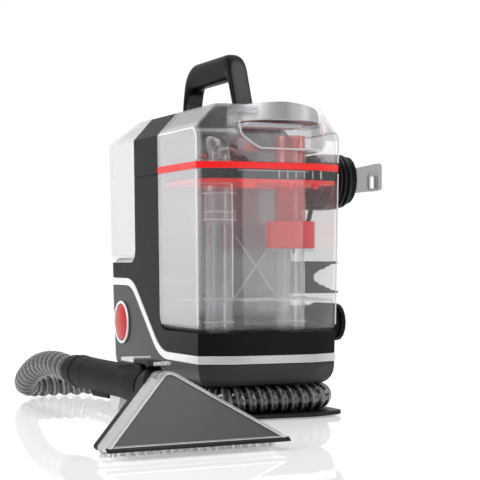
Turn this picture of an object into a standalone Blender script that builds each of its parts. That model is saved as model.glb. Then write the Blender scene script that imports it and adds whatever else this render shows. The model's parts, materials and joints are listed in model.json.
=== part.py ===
"""Spot extractor: a small carpet and upholstery washer with its hose, wand and wide nozzle.

The frame of the model has +X to the right as seen from the front, +Y to the back and +Z up.
The origin is on the floor under the middle of the base.  The dirty tank is at the front (-Y),
the clean tank at the back (+Y), and a full-width spine with the carry handle stands between them.
Lengths are written in millimetres, and MM turns them into Blender's metres.
"""
import math

import bmesh
import bpy
from mathutils import Matrix, Vector

MM = 0.001
GAP = 0.3            # clearance between neighbouring pieces
WALL = 2.6           # wall of the moulded shells
EXACT_MERGE = 0.00001

# Body shell: half its width, the draft of its walls, and the levels where it is split
HALF_WIDTH = 89.0
SIDE_DRAFT = 0.0156
FRONT_DRAFT = 0.0111
DRAFT_LEVEL = 75.0
FRONT_Y = -170.0
REAR_Y = 164.0
FACET_X = 38.0
FACET_Y = 16.0
REAR_RADIUS = 22.0
CHANNEL_LOW = 6.5
CHANNEL_TOP = 38.5
DECK_TOP = 101.5
REAR_DECK_TOP = 184.6
TANK_RIM = 294.4
LID_LOW = 302.7
TOP = 371.0
SPINE_FRONT = -26.5
SPINE_REAR = 61.5
CHAMFER_LEVEL = 342.0
CHAMFER_HALF = 68.0

# Trim band: the level of its top edge at the front and the rear, and the slope between them
TRIM_FRONT_Z = 75.0
TRIM_REAR_Z = 164.0
TRIM_RISE_START = -29.3
TRIM_RISE_END = 73.2
TRIM_HEIGHT = 9.5

# Handle rail and its groove
RAIL_HALF = 20.0
RAIL_LOW = 355.0
RAIL_TOP = 377.0
RAIL_FRONT = -96.0
RAIL_REAR = 106.0

# Grip cap on the dirty tank's lid
CAP_X = 23.0
CAP_HALF = 53.0
CAP_REAR = -100.0
CAP_CENTRE_Y = -96.0
CAP_REACH = 88.0
CAP_SWEEP = 25.0

# Outlet of the clean tank, where its valve meets the body's coupling
OUTLET_Z = 217.0

# Standpipes of the dirty tank
INLET_X = -40.0
SUCTION_X = 55.0
PIPES_Y = -100.0

# Hose and power cord
HOSE_RADIUS = 15.7
CORD_RADIUS = 3.1
CHANNEL_MID = 22.5

# Cord spool on the right side
SPOOL_Y = -15.0
SPOOL_Z = 289.0
COIL_X = (120.0, 156.0)
COIL_SIZE = (120.0, 70.0)
CORE_SIZE = (76.0, 26.0)

# Wand and nozzle
WAND_X = -215.0
WAND_Z = 58.0
AIRWAY = 10.0
AIRWAY_Z = 61.0
NOZZLE_FOOT = (-200.5, -444.0, 7.3)
NOZZLE_YAW = 6.7
NOZZLE_RISE = 43.5
NOZZLE_HALF = 106.0
NOZZLE_SLANT = 104.5

MATERIALS = {
    "charcoal": ((0.035, 0.037, 0.039, 1.0), 0.35, 0.0),
    "base_black": ((0.012, 0.012, 0.013, 1.0), 0.45, 0.0),
    "housing_grey": ((0.16, 0.165, 0.175, 1.0), 0.32, 0.4),
    "silver_trim": ((0.85, 0.86, 0.87, 1.0), 0.22, 0.6),
    "cap_silver": ((0.48, 0.49, 0.5, 1.0), 0.34, 0.7),
    "handle_black": ((0.02, 0.021, 0.022, 1.0), 0.28, 0.0),
    "tank_clear": ((0.9, 0.92, 0.93, 0.35), 0.05, 0.0),
    "seal_red": ((0.75, 0.02, 0.02, 1.0), 0.35, 0.0),
    "float_red": ((0.7, 0.06, 0.07, 1.0), 0.35, 0.0),
    "badge_red": ((0.55, 0.01, 0.015, 1.0), 0.18, 0.1),
    "rubber": ((0.01, 0.01, 0.01, 1.0), 0.8, 0.0),
    "cord_black": ((0.012, 0.012, 0.012, 1.0), 0.5, 0.0),
    "hose_grey": ((0.12, 0.12, 0.125, 1.0), 0.3, 0.0),
    "motor_steel": ((0.5, 0.5, 0.52, 1.0), 0.3, 1.0),
    "pump_white": ((0.7, 0.7, 0.68, 1.0), 0.4, 0.0),
    "duct_grey": ((0.25, 0.25, 0.26, 1.0), 0.5, 0.0),
    "tool_grey": ((0.3, 0.31, 0.32, 1.0), 0.35, 0.1),
    "button_grey": ((0.5, 0.5, 0.5, 1.0), 0.4, 0.0),
    "bristle": ((0.85, 0.85, 0.83, 0.6), 0.5, 0.0),
}


# ---------------------------------------------------------------- scene and materials

def new_collection(name):
    group = bpy.data.collections.new(name)
    bpy.context.scene.collection.children.link(group)
    return group


def material(slot):
    found = bpy.data.materials.get(slot)
    if found:
        return found
    color, roughness, metallic = MATERIALS[slot]
    made = bpy.data.materials.new(slot)
    made.use_nodes = True
    shader = made.node_tree.nodes["Principled BSDF"]
    shader.inputs["Base Color"].default_value = color
    shader.inputs["Roughness"].default_value = roughness
    shader.inputs["Metallic"].default_value = metallic
    shader.inputs["Alpha"].default_value = color[3]
    return made


def add_object(name, mesh, slot):
    """Link a mesh as a sub-part, or as a hidden tool when it has no material slot."""
    obj = bpy.data.objects.new(name, mesh)
    if slot:
        PARTS.objects.link(obj)
        mesh.materials.append(material(slot))
    else:
        TOOLS.objects.link(obj)
        obj.hide_render = True
        obj.display_type = "WIRE"
    return obj


def add_bmesh(name, slot, shape):
    bmesh.ops.recalc_face_normals(shape, faces=shape.faces)
    mesh = bpy.data.meshes.new(name)
    shape.to_mesh(mesh)
    shape.free()
    return add_object(name, mesh, slot)


def smooth(obj, angle=35.0):
    obj.data.shade_smooth()
    obj.data.set_sharp_from_angle(angle=math.radians(angle))
    return obj


# ---------------------------------------------------------------- modifiers

def bevel(obj, width, segments=1, angle=35.0):
    edge = obj.modifiers.new("bevel", "BEVEL")
    edge.width = width * MM
    edge.segments = segments
    edge.limit_method = "ANGLE"
    edge.angle_limit = math.radians(angle)
    return obj


def combine(obj, operation, *others):
    for other in others:
        step = obj.modifiers.new(operation.lower(), "BOOLEAN")
        step.operation = operation
        step.object = other
    return obj


def cut(obj, *cutters):
    return combine(obj, "DIFFERENCE", *cutters)


def keep(obj, *regions):
    return combine(obj, "INTERSECT", *regions)


def join(obj, *others):
    return combine(obj, "UNION", *others)


# ---------------------------------------------------------------- basic shapes

AXIS_TURN = {
    "X": Matrix.Rotation(math.pi / 2, 4, "Y"),
    "Y": Matrix.Rotation(-math.pi / 2, 4, "X"),
    "Z": Matrix.Identity(4),
}
PLANE_TURN = {
    "XY": Matrix.Identity(4),
    "YZ": Matrix(((0, 0, 1, 0), (1, 0, 0, 0), (0, 1, 0, 0), (0, 0, 0, 1))),
    "XZ": Matrix(((1, 0, 0, 0), (0, 0, -1, 0), (0, 1, 0, 0), (0, 0, 0, 1))),
}


def place(obj, centre, turn):
    obj.matrix_world = Matrix.Translation(Vector(centre) * MM) @ turn
    return obj


def box(name, slot, x, y, z):
    shape = bmesh.new()
    bmesh.ops.create_cube(shape, size=1.0)
    size = Vector((x[1] - x[0], y[1] - y[0], z[1] - z[0])) * MM
    bmesh.ops.scale(shape, vec=size, verts=shape.verts)
    obj = add_bmesh(name, slot, shape)
    obj.location = Vector((x[0] + x[1], y[0] + y[1], z[0] + z[1])) * (MM / 2)
    return obj


def cylinder(name, slot, centre, radius, length, axis="Z", sides=32, end_radius=None):
    """A cylinder, or a cone whose end_radius is at the positive end of its axis."""
    shape = bmesh.new()
    top = radius if end_radius is None else end_radius
    bmesh.ops.create_cone(shape, cap_ends=True, segments=sides, radius1=radius * MM,
                          radius2=top * MM, depth=length * MM)
    obj = add_bmesh(name, slot, shape)
    return smooth(place(obj, centre, AXIS_TURN[axis]))


def turned(name, slot, profile, centre, axis="Z", steps=32, closed=True):
    """Turn a profile of (radius, height) points, listed down the outer side."""
    shape = bmesh.new()
    points = [shape.verts.new((radius * MM, 0.0, height * MM)) for radius, height in profile]
    for first, second in zip(points, points[1:]):
        shape.edges.new((first, second))
    if closed:
        shape.edges.new((points[-1], points[0]))
    mesh = bpy.data.meshes.new(name)
    shape.to_mesh(mesh)
    shape.free()
    obj = place(add_object(name, mesh, slot), centre, AXIS_TURN[axis])
    screw = obj.modifiers.new("turn", "SCREW")
    screw.steps = steps
    screw.render_steps = steps
    screw.use_merge_vertices = True
    screw.merge_threshold = EXACT_MERGE
    return obj


def ring(name, slot, centre, outer, inner, length, axis="Z", steps=32):
    half = length / 2
    profile = [(outer, half), (outer, -half), (inner, -half), (inner, half)]
    return turned(name, slot, profile, centre, axis, steps)


def mesh_from_curve(name, slot, curve_obj):
    """Turn a curve object into a welded mesh object in the same place."""
    bpy.context.view_layer.update()
    evaluated = curve_obj.evaluated_get(bpy.context.evaluated_depsgraph_get())
    mesh = bpy.data.meshes.new_from_object(evaluated)
    matrix = curve_obj.matrix_world.copy()
    bpy.data.objects.remove(curve_obj)
    shape = bmesh.new()
    shape.from_mesh(mesh)
    bmesh.ops.remove_doubles(shape, verts=shape.verts, dist=EXACT_MERGE)
    bmesh.ops.recalc_face_normals(shape, faces=shape.faces)
    shape.to_mesh(mesh)
    shape.free()
    mesh.materials.clear()
    obj = add_object(name, mesh, slot)
    obj.matrix_world = matrix
    return obj


def plate(name, slot, outlines, plane, low, high, turn=None):
    """A flat outline, or an outline and its holes, extruded from low to high across its plane."""
    curve = bpy.data.curves.new(name, "CURVE")
    curve.dimensions = "2D"
    curve.fill_mode = "BOTH"
    curve.extrude = (high - low) / 2 * MM
    for outline in outlines:
        spline = curve.splines.new("POLY")
        spline.points.add(len(outline) - 1)
        for point, (across, up) in zip(spline.points, outline):
            point.co = (across * MM, up * MM, 0.0, 1.0)
        spline.use_cyclic_u = True
    curve_obj = bpy.data.objects.new(name, curve)
    TOOLS.objects.link(curve_obj)
    base = PLANE_TURN[plane] if turn is None else turn
    side = -1.0 if plane == "XZ" and turn is None else 1.0
    shift = Matrix.Translation((0.0, 0.0, side * (low + high) / 2 * MM))
    curve_obj.matrix_world = base @ shift
    return mesh_from_curve(name, slot, curve_obj)


def loft(name, slot, rings):
    """A closed body through outlines of equal length that lie one above the other."""
    shape = bmesh.new()
    levels = [[shape.verts.new(Vector(point) * MM) for point in outline] for outline in rings]
    count = len(rings[0])
    for lower, upper in zip(levels, levels[1:]):
        for i in range(count):
            j = (i + 1) % count
            shape.faces.new((lower[i], lower[j], upper[j], upper[i]))
    shape.faces.new(list(reversed(levels[0])))
    shape.faces.new(levels[-1])
    return add_bmesh(name, slot, shape)


# ---------------------------------------------------------------- outlines

def arc(centre, radius, start, end, steps):
    """Points of an arc, in degrees, both ends included."""
    points = []
    for i in range(steps + 1):
        angle = math.radians(start + (end - start) * i / steps)
        points.append((centre[0] + radius * math.cos(angle), centre[1] + radius * math.sin(angle)))
    return points


def rounded(corners):
    """An outline whose corners (across, up, radius, steps) are replaced by arcs."""
    points = []
    count = len(corners)
    for i, (across, up, radius, steps) in enumerate(corners):
        here = Vector((across, up))
        if not radius:
            points.append((across, up))
            continue
        before = (Vector(corners[i - 1][:2]) - here).normalized()
        after = (Vector(corners[(i + 1) % count][:2]) - here).normalized()
        half = before.angle(after) / 2
        centre = here + (before + after).normalized() * (radius / math.sin(half))
        first = here + before * (radius / math.tan(half)) - centre
        last = here + after * (radius / math.tan(half)) - centre
        turn = math.atan2(first.x * last.y - first.y * last.x, first.dot(last))
        for step in range(steps + 1):
            swing = Matrix.Rotation(turn * step / steps, 2)
            point = centre + swing @ first
            points.append((point.x, point.y))
    return points


def rounded_box(across, up, radius, steps=4):
    """A rectangle between two spans, with four rounded corners."""
    corners = [(across[0], up[0]), (across[1], up[0]), (across[1], up[1]), (across[0], up[1])]
    return rounded([(a, u, radius, steps) for a, u in corners])


def racetrack(centre, length, height, steps=8):
    """A slot shape: two half circles joined by straight runs along the first axis."""
    radius = height / 2
    reach = (length - height) / 2
    right = arc((centre[0] + reach, centre[1]), radius, -90, 90, steps)
    left = arc((centre[0] - reach, centre[1]), radius, 90, 270, steps)
    return right + left


def inset(outline, distance):
    """Move every side of a counter-clockwise outline inwards by a distance."""
    moved = []
    count = len(outline)
    for i in range(count):
        here = Vector(outline[i])
        before = (here - Vector(outline[i - 1])).normalized()
        after = (Vector(outline[(i + 1) % count]) - here).normalized()
        normal_a = Vector((-before.y, before.x))
        normal_b = Vector((-after.y, after.x))
        point = here + (normal_a + normal_b) * (distance / (1.0 + normal_a.dot(normal_b)))
        moved.append((point.x, point.y))
    return moved


def half_width(z):
    return HALF_WIDTH + (z - DRAFT_LEVEL) * SIDE_DRAFT


def rear_y(z):
    """The rear wall leans out more below the rear deck than above it."""
    if z < REAR_DECK_TOP + GAP:
        return REAR_Y + (z - 55.0) * 0.073
    return 175.2 + (z - 200.0) * 0.0214


def body_plan(z, distance=0.0, rear=None, lean=0.0):
    """The body's outline from above at a level: two front facets and round rear corners."""
    width = half_width(z)
    front = FRONT_Y - (z - DRAFT_LEVEL) * FRONT_DRAFT + lean
    back = rear_y(z) if rear is None else rear
    right = arc((width - REAR_RADIUS, back - REAR_RADIUS), REAR_RADIUS, 0, 90, 4)
    left = arc((REAR_RADIUS - width, back - REAR_RADIUS), REAR_RADIUS, 90, 180, 4)
    corners = [(-width, front + FACET_Y), (FACET_X - width, front),
               (width - FACET_X, front), (width, front + FACET_Y)]
    return inset(corners + right + left, distance)


def body_loft(name, slot, levels):
    """The body's shape through levels, each with its inset and, where it has one, its lean."""
    rings = []
    for z, distance, *lean in levels:
        rings.append([(x, y, z) for x, y in body_plan(z, distance, None, *lean)])
    return loft(name, slot, rings)


def trim_edge(drop):
    """The trim band's top edge from the front to the rear, moved down by a distance."""
    slope = math.atan2(TRIM_REAR_Z - TRIM_FRONT_Z, TRIM_RISE_END - TRIM_RISE_START)
    shift = drop * math.tan(slope / 2)
    path = [(-230.0, TRIM_FRONT_Z - drop, 0, 0),
            (TRIM_RISE_START + shift, TRIM_FRONT_Z - drop, 66.0 + drop, 5),
            (TRIM_RISE_END + shift, TRIM_REAR_Z - drop, 61.0 - drop, 5),
            (230.0, TRIM_REAR_Z - drop, 0, 0)]
    return path


# ---------------------------------------------------------------- curves in space

def smooth_route(points, spacing):
    """Points at an even spacing along a smooth curve through a route's own points."""
    route = [Vector(point) for point in points]
    padded = [route[0] * 2 - route[1]] + route + [route[-1] * 2 - route[-2]]
    fine = []
    for i in range(1, len(padded) - 2):
        p0, p1, p2, p3 = padded[i - 1:i + 3]
        for step in range(24):
            t = step / 24
            fine.append(0.5 * ((2 * p1) + (p2 - p0) * t + (2 * p0 - 5 * p1 + 4 * p2 - p3) * t * t
                               + (3 * p1 - p0 - 3 * p2 + p3) * t * t * t))
    fine.append(route[-1])
    lengths = [0.0]
    for before, after in zip(fine, fine[1:]):
        lengths.append(lengths[-1] + (after - before).length)
    count = max(2, round(lengths[-1] / spacing))
    even = []
    place_at = 0
    for i in range(count + 1):
        target = lengths[-1] * i / count
        while place_at < len(lengths) - 2 and lengths[place_at + 1] < target:
            place_at += 1
        span = lengths[place_at + 1] - lengths[place_at]
        share = (target - lengths[place_at]) / span
        even.append(fine[place_at].lerp(fine[place_at + 1], share))
    step = lengths[-1] / count
    even[1] = route[0] + (route[1] - route[0]).normalized() * step
    even[-2] = route[-1] + (route[-2] - route[-1]).normalized() * step
    return even


def pipe(name, slot, route, radius, spacing, resolution=3):
    """A round tube or rod along a route."""
    curve = bpy.data.curves.new(name, "CURVE")
    curve.dimensions = "3D"
    curve.bevel_depth = radius * MM
    curve.bevel_resolution = resolution
    curve.use_fill_caps = True
    points = smooth_route(route, spacing)
    spline = curve.splines.new("POLY")
    spline.points.add(len(points) - 1)
    for point, place_at in zip(spline.points, points):
        point.co = (*(place_at * MM), 1.0)
    curve_obj = bpy.data.objects.new(name, curve)
    TOOLS.objects.link(curve_obj)
    return smooth(mesh_from_curve(name, slot, curve_obj), 50.0)


# ---------------------------------------------------------------- base

def build_base():
    left, front_left, front_right, right, *rear = body_plan(DRAFT_LEVEL, -8.5)
    plan = rounded([(*left, 14, 3), (*front_left, 44, 5), (*front_right, 44, 5), (*right, 14, 3)]
                   + [(*corner, 0, 0) for corner in rear])
    base = plate("base_plate", "base_black", [plan], "XY", 1.5, CHANNEL_LOW)
    join(base, cylinder("base_boss", None, (0, 0, 1.6), 20, 3.2))
    for side, y in (("front", -128.0), ("rear", 112.0)):
        foot = box("foot_" + side, "rubber", (-60, 60), (y - 9, y + 9), (0, 4.2))
        bevel(foot, 1.2)
        cut(base, box("foot_recess_" + side, None, (-60.4, 60.4), (y - 9.4, y + 9.4), (-2, 4.5)))
    outer = rounded_box((-58, 58), (-136, 131), 34, 5)
    inner = rounded_box((-55, 55), (-133, 128), 31, 5)
    pedestal = plate("hose_wrap_pedestal", "base_black", [outer, inner], "XY",
                     CHANNEL_LOW + GAP, CHANNEL_TOP - GAP)
    cut(pedestal, cylinder("port_hole", None, (-30, 130, CHANNEL_MID), 14.6, 24, "Y", 24))


def build_housing():
    levels = [(CHANNEL_TOP, 13), (42, 7), (47, 3), (54, 0.6), (62, 0), (TRIM_REAR_Z + 4, 0)]
    housing = body_loft("lower_housing", "housing_grey", levels)
    side = rounded(trim_edge(TRIM_HEIGHT + GAP) + [(230, 20, 0, 0), (-230, 20, 0, 0)])
    keep(housing, plate("housing_side", None, [side], "YZ", -120, 120))
    hollow = [(CHANNEL_TOP + WALL, 13 + WALL), (47, 3 + WALL + 1), (56, WALL), (200, WALL)]
    cut(housing, body_loft("housing_hollow", None, hollow))
    cut(housing, box("housing_floor_opening", None, (-52, 52), (-124, 122), (20, 50)))
    cut(housing, box("vent_opening", None, (-44, 44), (140, 200), (66, 124)))


def build_trim():
    band = body_loft("trim_band", "silver_trim", [(50, -0.9), (190, -0.9)])
    side = rounded(trim_edge(0.0) + list(reversed(trim_edge(TRIM_HEIGHT))))
    keep(band, plate("trim_side", None, [side], "YZ", -120, 120))
    cut(band, body_loft("trim_hollow", None, [(40, WALL), (200, WALL)]))


def build_frame():
    frame = body_loft("main_frame", "charcoal", [(60, 0), (TANK_RIM - GAP, 0)])
    outer = trim_edge(-GAP) + [
        (230, REAR_DECK_TOP, 0, 0), (SPINE_REAR, REAR_DECK_TOP, 18, 5), (SPINE_REAR, 320, 0, 0),
        (SPINE_FRONT, 320, 0, 0), (SPINE_FRONT, DECK_TOP, 20, 5), (-230, DECK_TOP, 0, 0)]
    keep(frame, plate("frame_side", None, [rounded(outer)], "YZ", -120, 120))
    inner = [(-230, 20, 0, 0), (230, 20, 0, 0), (230, REAR_DECK_TOP - WALL, 0, 0),
             (SPINE_REAR - WALL, REAR_DECK_TOP - WALL, 20, 4), (SPINE_REAR - WALL, 320, 0, 0),
             (SPINE_FRONT + WALL, 320, 0, 0), (SPINE_FRONT + WALL, DECK_TOP - WALL, 22, 4),
             (-230, DECK_TOP - WALL, 0, 0)]
    hollow = body_loft("frame_hollow", None, [(30, WALL), (330, WALL)])
    keep(hollow, plate("frame_hollow_side", None, [rounded(inner)], "YZ", -120, 120))
    cut(frame, hollow)
    for x in (INLET_X, SUCTION_X):
        hole = cylinder("deck_hole_%d" % x, None, (x, PIPES_Y, DECK_TOP), 13.6, 30, "Z", 24)
        cut(frame, hole)
    cut(frame, cylinder("coupling_hole", None, (0, SPINE_REAR, OUTLET_Z), 9.4, 30, "Y", 24))
    cut(frame, cylinder("gland_hole", None, (92, 4, 236), 8.4, 30, "X", 16))


def side_chamfers(name, low, distance):
    """The top of the body from the front: two sloping shoulders, extruded front to back."""
    wide = 94.0 - distance
    shoulder = CHAMFER_LEVEL - distance * 0.4
    flat = CHAMFER_HALF - distance * 0.4
    outline = [(-wide - 8, low), (wide + 8, low), (wide + 8, shoulder - 8), (wide - 0.5, shoulder),
               (flat, TOP - distance), (-flat, TOP - distance), (0.5 - wide, shoulder),
               (-wide - 8, shoulder - 8)]
    return plate(name, None, [outline], "XZ", -230, 230)


def build_spine_cover():
    cover = body_loft("spine_top_cover", "charcoal", [(TANK_RIM, 0), (TOP + 3, 0)])
    keep(cover, side_chamfers("cover_shoulders", TANK_RIM - 10, 0))
    keep(cover, box("cover_span", None, (-120, 120), (SPINE_FRONT, SPINE_REAR), (280, 400)))
    hollow = body_loft("cover_hollow", None, [(280, WALL), (TOP + 3, WALL)])
    keep(hollow, side_chamfers("cover_hollow_shoulders", 270, WALL))
    keep(hollow, box("cover_hollow_span", None, (-120, 120),
                     (SPINE_FRONT + WALL, SPINE_REAR - WALL), (270, 400)))
    groove = RAIL_HALF + GAP
    cut(hollow, box("groove_block", None, (-groove - WALL, groove + WALL), (-120, 120),
                    (RAIL_LOW - GAP - WALL, 400)))
    cut(cover, hollow)
    cut(cover, box("groove", None, (-groove, groove), (-120, 120), (RAIL_LOW - GAP, 400)))
    cut(cover, cylinder("button_hole", None, (46, 18, TOP), 10.6, 30, "Z", 24))
    button = cylinder("power_button", "button_grey", (46, 18, TOP - 2), 10.2, 8, "Z", 28)
    bevel(button, 1.2, 2)


def build_handle():
    outer = rounded([(RAIL_FRONT + 7, RAIL_TOP - 4, 0, 0), (-84, 384, 14, 2),
                     (-60, 446, 26, 7), (84, 446, 34, 7), (96, 392, 16, 2),
                     (RAIL_REAR - 9, RAIL_TOP - 4, 0, 0)])
    inner = rounded([(-75, RAIL_TOP, 3, 2), (-55, 413, 8, 4), (72, 413, 16, 4),
                     (82, 392, 12, 2), (83, RAIL_TOP, 6, 3)])
    handle = plate("carry_handle", "handle_black", [outer, inner], "YZ", -13, 13)
    bevel(handle, 5.0, 3, 50.0)
    rail = box("handle_rail", None, (-RAIL_HALF, RAIL_HALF), (RAIL_FRONT, RAIL_REAR),
               (RAIL_LOW, RAIL_TOP))
    bevel(rail, 2.0, 2)
    join(handle, rail)


def build_badge():
    level = 105.4
    tilt = Matrix.Rotation(math.radians(-90) - math.atan(SIDE_DRAFT), 4, "Y")
    rim = [(28.5, 0.9), (28.5, 0), (24.6, 0), (24.6, 2.4), (27.4, 2.4)]
    wall = -half_width(level) - GAP
    place(turned("badge_ring", "silver_trim", rim, (0, 0, 0), "Z", 40), (wall, 114.4, level), tilt)
    face = [(0, 2.0), (18, 1.9), (24.2, 1.2), (24.2, 0), (0, 0)]
    disc = turned("badge_plate", "badge_red", face, (0, 0, 0), "Z", 40, closed=False)
    place(disc, (wall, 114.4, level), tilt)


def build_grille():
    grille = box("exhaust_grille", "charcoal", (-43.6, 43.6), (140, 200), (66.4, 123.6))
    keep(grille, body_loft("grille_face", None, [(50, 0.6), (140, 0.6)]))
    cut(grille, body_loft("grille_back", None, [(40, 3.0), (150, 3.0)]))
    for row in range(6):
        z = 76.0 + row * 7.6
        cut(grille, box("grille_slot_%d" % row, None, (-37, 37), (140, 200), (z, z + 3.6)))


# ---------------------------------------------------------------- inside the body

def build_works():
    motor = [(0, 172), (12, 172), (12, 168), (36, 166), (38, 160), (38, 88), (0, 88)]
    turned("vacuum_motor", "motor_steel", motor, (0, 105, 0), "Z", 28, closed=False)
    fan = [(9, 86), (46, 86), (46, 53), (16, 53), (16, 55.6), (43.4, 55.6), (43.4, 83.4), (9, 83.4)]
    turned("fan_housing", "duct_grey", fan, (0, 105, 0), "Z", 28)
    cylinder("motor_shaft", "motor_steel", (0, 105, 78.7), 3.0, 18, "Z", 16)
    vanes = []
    for i in range(9):
        start = i * 40.0
        vanes += arc((0, 0), 38.0, start, start + 7, 1)
        vanes += arc((0, 0), 14.0, start + 22, start + 38, 1)
    impeller = plate("impeller", "motor_steel", [vanes], "XY", 62, 76)
    impeller.location += Vector((0, 105, 0)) * MM
    cut(impeller, cylinder("impeller_bore", None, (0, 105, 70), 3.05, 40, "Z", 16))

    pump = box("water_pump", "pump_white", (-14, 26), (-58, -18), (62, 88))
    bevel(pump, 3, 2)
    join(pump, cylinder("pump_motor", None, (6, -8, 75), 11, 28, "Y", 20))
    tube = [(0, 54, OUTLET_Z), (0, 44, OUTLET_Z - 2), (2, 30, 196), (4, 12, 150), (5, -12, 118),
            (5, -24, 101), (5, -26, 95), (5, -26, 88.4)]
    pipe("water_tube", "pump_white", tube, 4, 14, 2)
    coupling = [(9, 3), (9, -2), (13, -2), (13, -3.4), (4.4, -3.4), (4.4, 3)]
    turned("tank_coupling", "duct_grey", coupling, (0, SPINE_REAR - 3.5, OUTLET_Z), "Y", 24)

    suction = [(SUCTION_X, PIPES_Y, DECK_TOP - GAP), (55, -100, 82), (44, -88, 60), (34, -60, 38),
               (26, -20, 24), (12, 40, 22), (2, 88, 25), (0, 105, 37), (0, 105, 52.4)]
    inlet = [(INLET_X, PIPES_Y, DECK_TOP - GAP), (-40, -100, 82), (-36, -88, 60), (-30, -60, 38),
             (-28, -20, 24), (-30, 50, 22.5), (-30, 90, CHANNEL_MID), (-30, 122, CHANNEL_MID)]
    for name, route in (("suction_duct", suction), ("inlet_duct", inlet)):
        duct = pipe(name, "duct_grey", route, 12.6, 17, 2)
        ends = [tuple(Vector(route[0]) * 2 - Vector(route[1]))] + route
        ends += [tuple(Vector(route[-1]) * 2 - Vector(route[-2]))]
        cut(duct, pipe(name + "_bore", None, ends, 10.4, 17, 1))


# ---------------------------------------------------------------- clean tank

def build_clean_tank():
    low = REAR_DECK_TOP + GAP
    levels = [(low, 6), (low + 8, 0), (TOP + 3, 0)]
    tank = body_loft("clean_tank", "tank_clear", levels)
    keep(tank, side_chamfers("clean_shoulders", 100, 0))
    front = SPINE_REAR + 0.5
    outline = [(front, low - 20, 0, 0), (250, low - 20, 0, 0), (250, 322, 0, 0),
               (178.3, 326, 0, 0), (176, 334, 6, 2), (168, 341.5, 12, 2), (110, TOP, 20, 2),
               (front, TOP, 0, 0)]
    keep(tank, plate("clean_side", None, [rounded(outline)], "YZ", -120, 120))
    radius = 19.0
    fillet = [(front - 5, low - 5), (front + radius, low - 5)]
    fillet += arc((front + radius, low + radius), radius, 270, 180, 5)
    fillet += [(front - 5, low + radius)]
    cut(tank, plate("clean_corner", None, [fillet], "YZ", -120, 120))

    hollow = body_loft("clean_hollow", None, [(low + 3, 8.2), (low + 9.5, WALL), (TOP + 3, WALL)])
    keep(hollow, side_chamfers("clean_hollow_shoulders", 100, WALL))
    inner = [(front + WALL, low + 3, radius, 4), (250, low + 3, 0, 0), (250, 319, 0, 0),
             (175.6, 323, 0, 0), (173.6, 332.4, 5, 2), (166.8, 338.8, 12, 2),
             (109.4, TOP - WALL, 20, 2), (front + WALL, TOP - WALL, 0, 0)]
    keep(hollow, plate("clean_hollow_side", None, [rounded(inner)], "YZ", -120, 120))
    notch = RAIL_HALF + 2.0
    end = RAIL_REAR + 2.0
    cut(hollow, box("clean_notch_block", None, (-notch - WALL, notch + WALL), (0, end + WALL),
                    (RAIL_LOW - 2.0 - WALL, 400)))
    cut(hollow, box("fill_pocket_block", None, (28, 66), (64, 104), (TOP - 9.0, 400)))
    cut(tank, hollow)
    cut(tank, box("clean_notch", None, (-notch, notch), (0, end), (RAIL_LOW - 2.0, 400)))
    cut(tank, box("fill_pocket", None, (31, 63), (67, 101), (TOP - 6.0, 400)))
    cut(tank, cylinder("fill_hole", None, (47, 84, TOP - 8), 11, 30, "Z", 24))
    cut(tank, cylinder("outlet_hole", None, (0, front, OUTLET_Z), 5.4, 20, "Y", 20))

    cap = box("clean_tank_cap", "charcoal", (31.4, 62.6), (68.6, 100.6), (TOP - 5.7, TOP))
    bevel(cap, 1.0, 2)
    join(cap, cylinder("cap_plug", None, (47, 84, TOP - 7.0), 8.8, 4, "Z", 24))
    plunger = [(0, 5), (8.4, 5), (8.4, 0.9), (4.6, 0.9), (4.6, -1.8), (0, -1.8)]
    turned("clean_tank_valve", "pump_white", plunger, (0, front + 2.0, OUTLET_Z), "Y", 20, closed=False)


# ---------------------------------------------------------------- dirty tank and its lid

def tank_corner(name, reach, top):
    """The dirty tank from the side, with its round lower rear corner."""
    back = SPINE_FRONT - 0.5
    outline = [(-250, DECK_TOP + 0.5 + reach, 0, 0), (back - reach, DECK_TOP + 0.5 + reach, 20, 5),
               (back - reach, top, 0, 0), (-250, top, 0, 0)]
    return plate(name, None, [rounded(outline)], "YZ", -120, 120)


def build_dirty_tank():
    low = DECK_TOP + 0.5
    tank = body_loft("dirty_tank", "tank_clear", [(low, 5), (low + 7, 0), (TANK_RIM, 0)])
    keep(tank, tank_corner("tank_side", 0, 400))
    hollow = body_loft("tank_hollow", None, [(low + 3, 7.2), (low + 8.4, WALL), (TANK_RIM + 9, WALL)])
    keep(hollow, tank_corner("tank_hollow_side", WALL, 400))
    cut(tank, hollow)
    for x in (INLET_X, SUCTION_X):
        cut(tank, cylinder("tank_floor_hole_%d" % x, None, (x, PIPES_Y, low), 12, 20, "Z", 24))
    floor = low + 3 + GAP
    standpipe = [(20, 277.8), (20, 234), (18, 231), (18, floor), (15.6, floor), (15.6, 277.8)]
    turned("inlet_standpipe", "tank_clear", standpipe, (INLET_X, PIPES_Y, 0), "Z", 28)
    shutoff = [(18, 234.6), (18, 201.5), (29.5, 201.5), (29.5, 198), (18, 198), (18, floor),
               (15.6, floor), (15.6, 234.6)]
    turned("suction_standpipe", "tank_clear", shutoff, (SUCTION_X, PIPES_Y, 0), "Z", 28)
    turned("float", "float_red", [(30.5, 235), (30.5, 202), (21, 202), (21, 235)],
           (SUCTION_X, PIPES_Y, 0), "Z", 36)

    ledge_outer = body_plan(140, WALL + 0.6, SPINE_FRONT - 0.5)
    ledge_inner = body_plan(140, 9.0, SPINE_FRONT - 0.5)
    baffle = plate("tank_baffle", "tank_clear", [ledge_outer, ledge_inner], "XY", 138.5, 141)
    for name, x0, x1 in (("rib_a", 8.0, 66.0), ("rib_b", 66.0, 8.0)):
        low_point, high_point = Vector((x0, 139.5)), Vector((x1, 219.0))
        across = (high_point - low_point).normalized()
        side = Vector((-across.y, across.x)) * 1.4
        rib = [low_point - side, high_point - side, high_point + side, low_point + side]
        join(baffle, plate(name, None, [[tuple(p) for p in rib]], "XZ", -36.2, -33.8))


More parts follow.
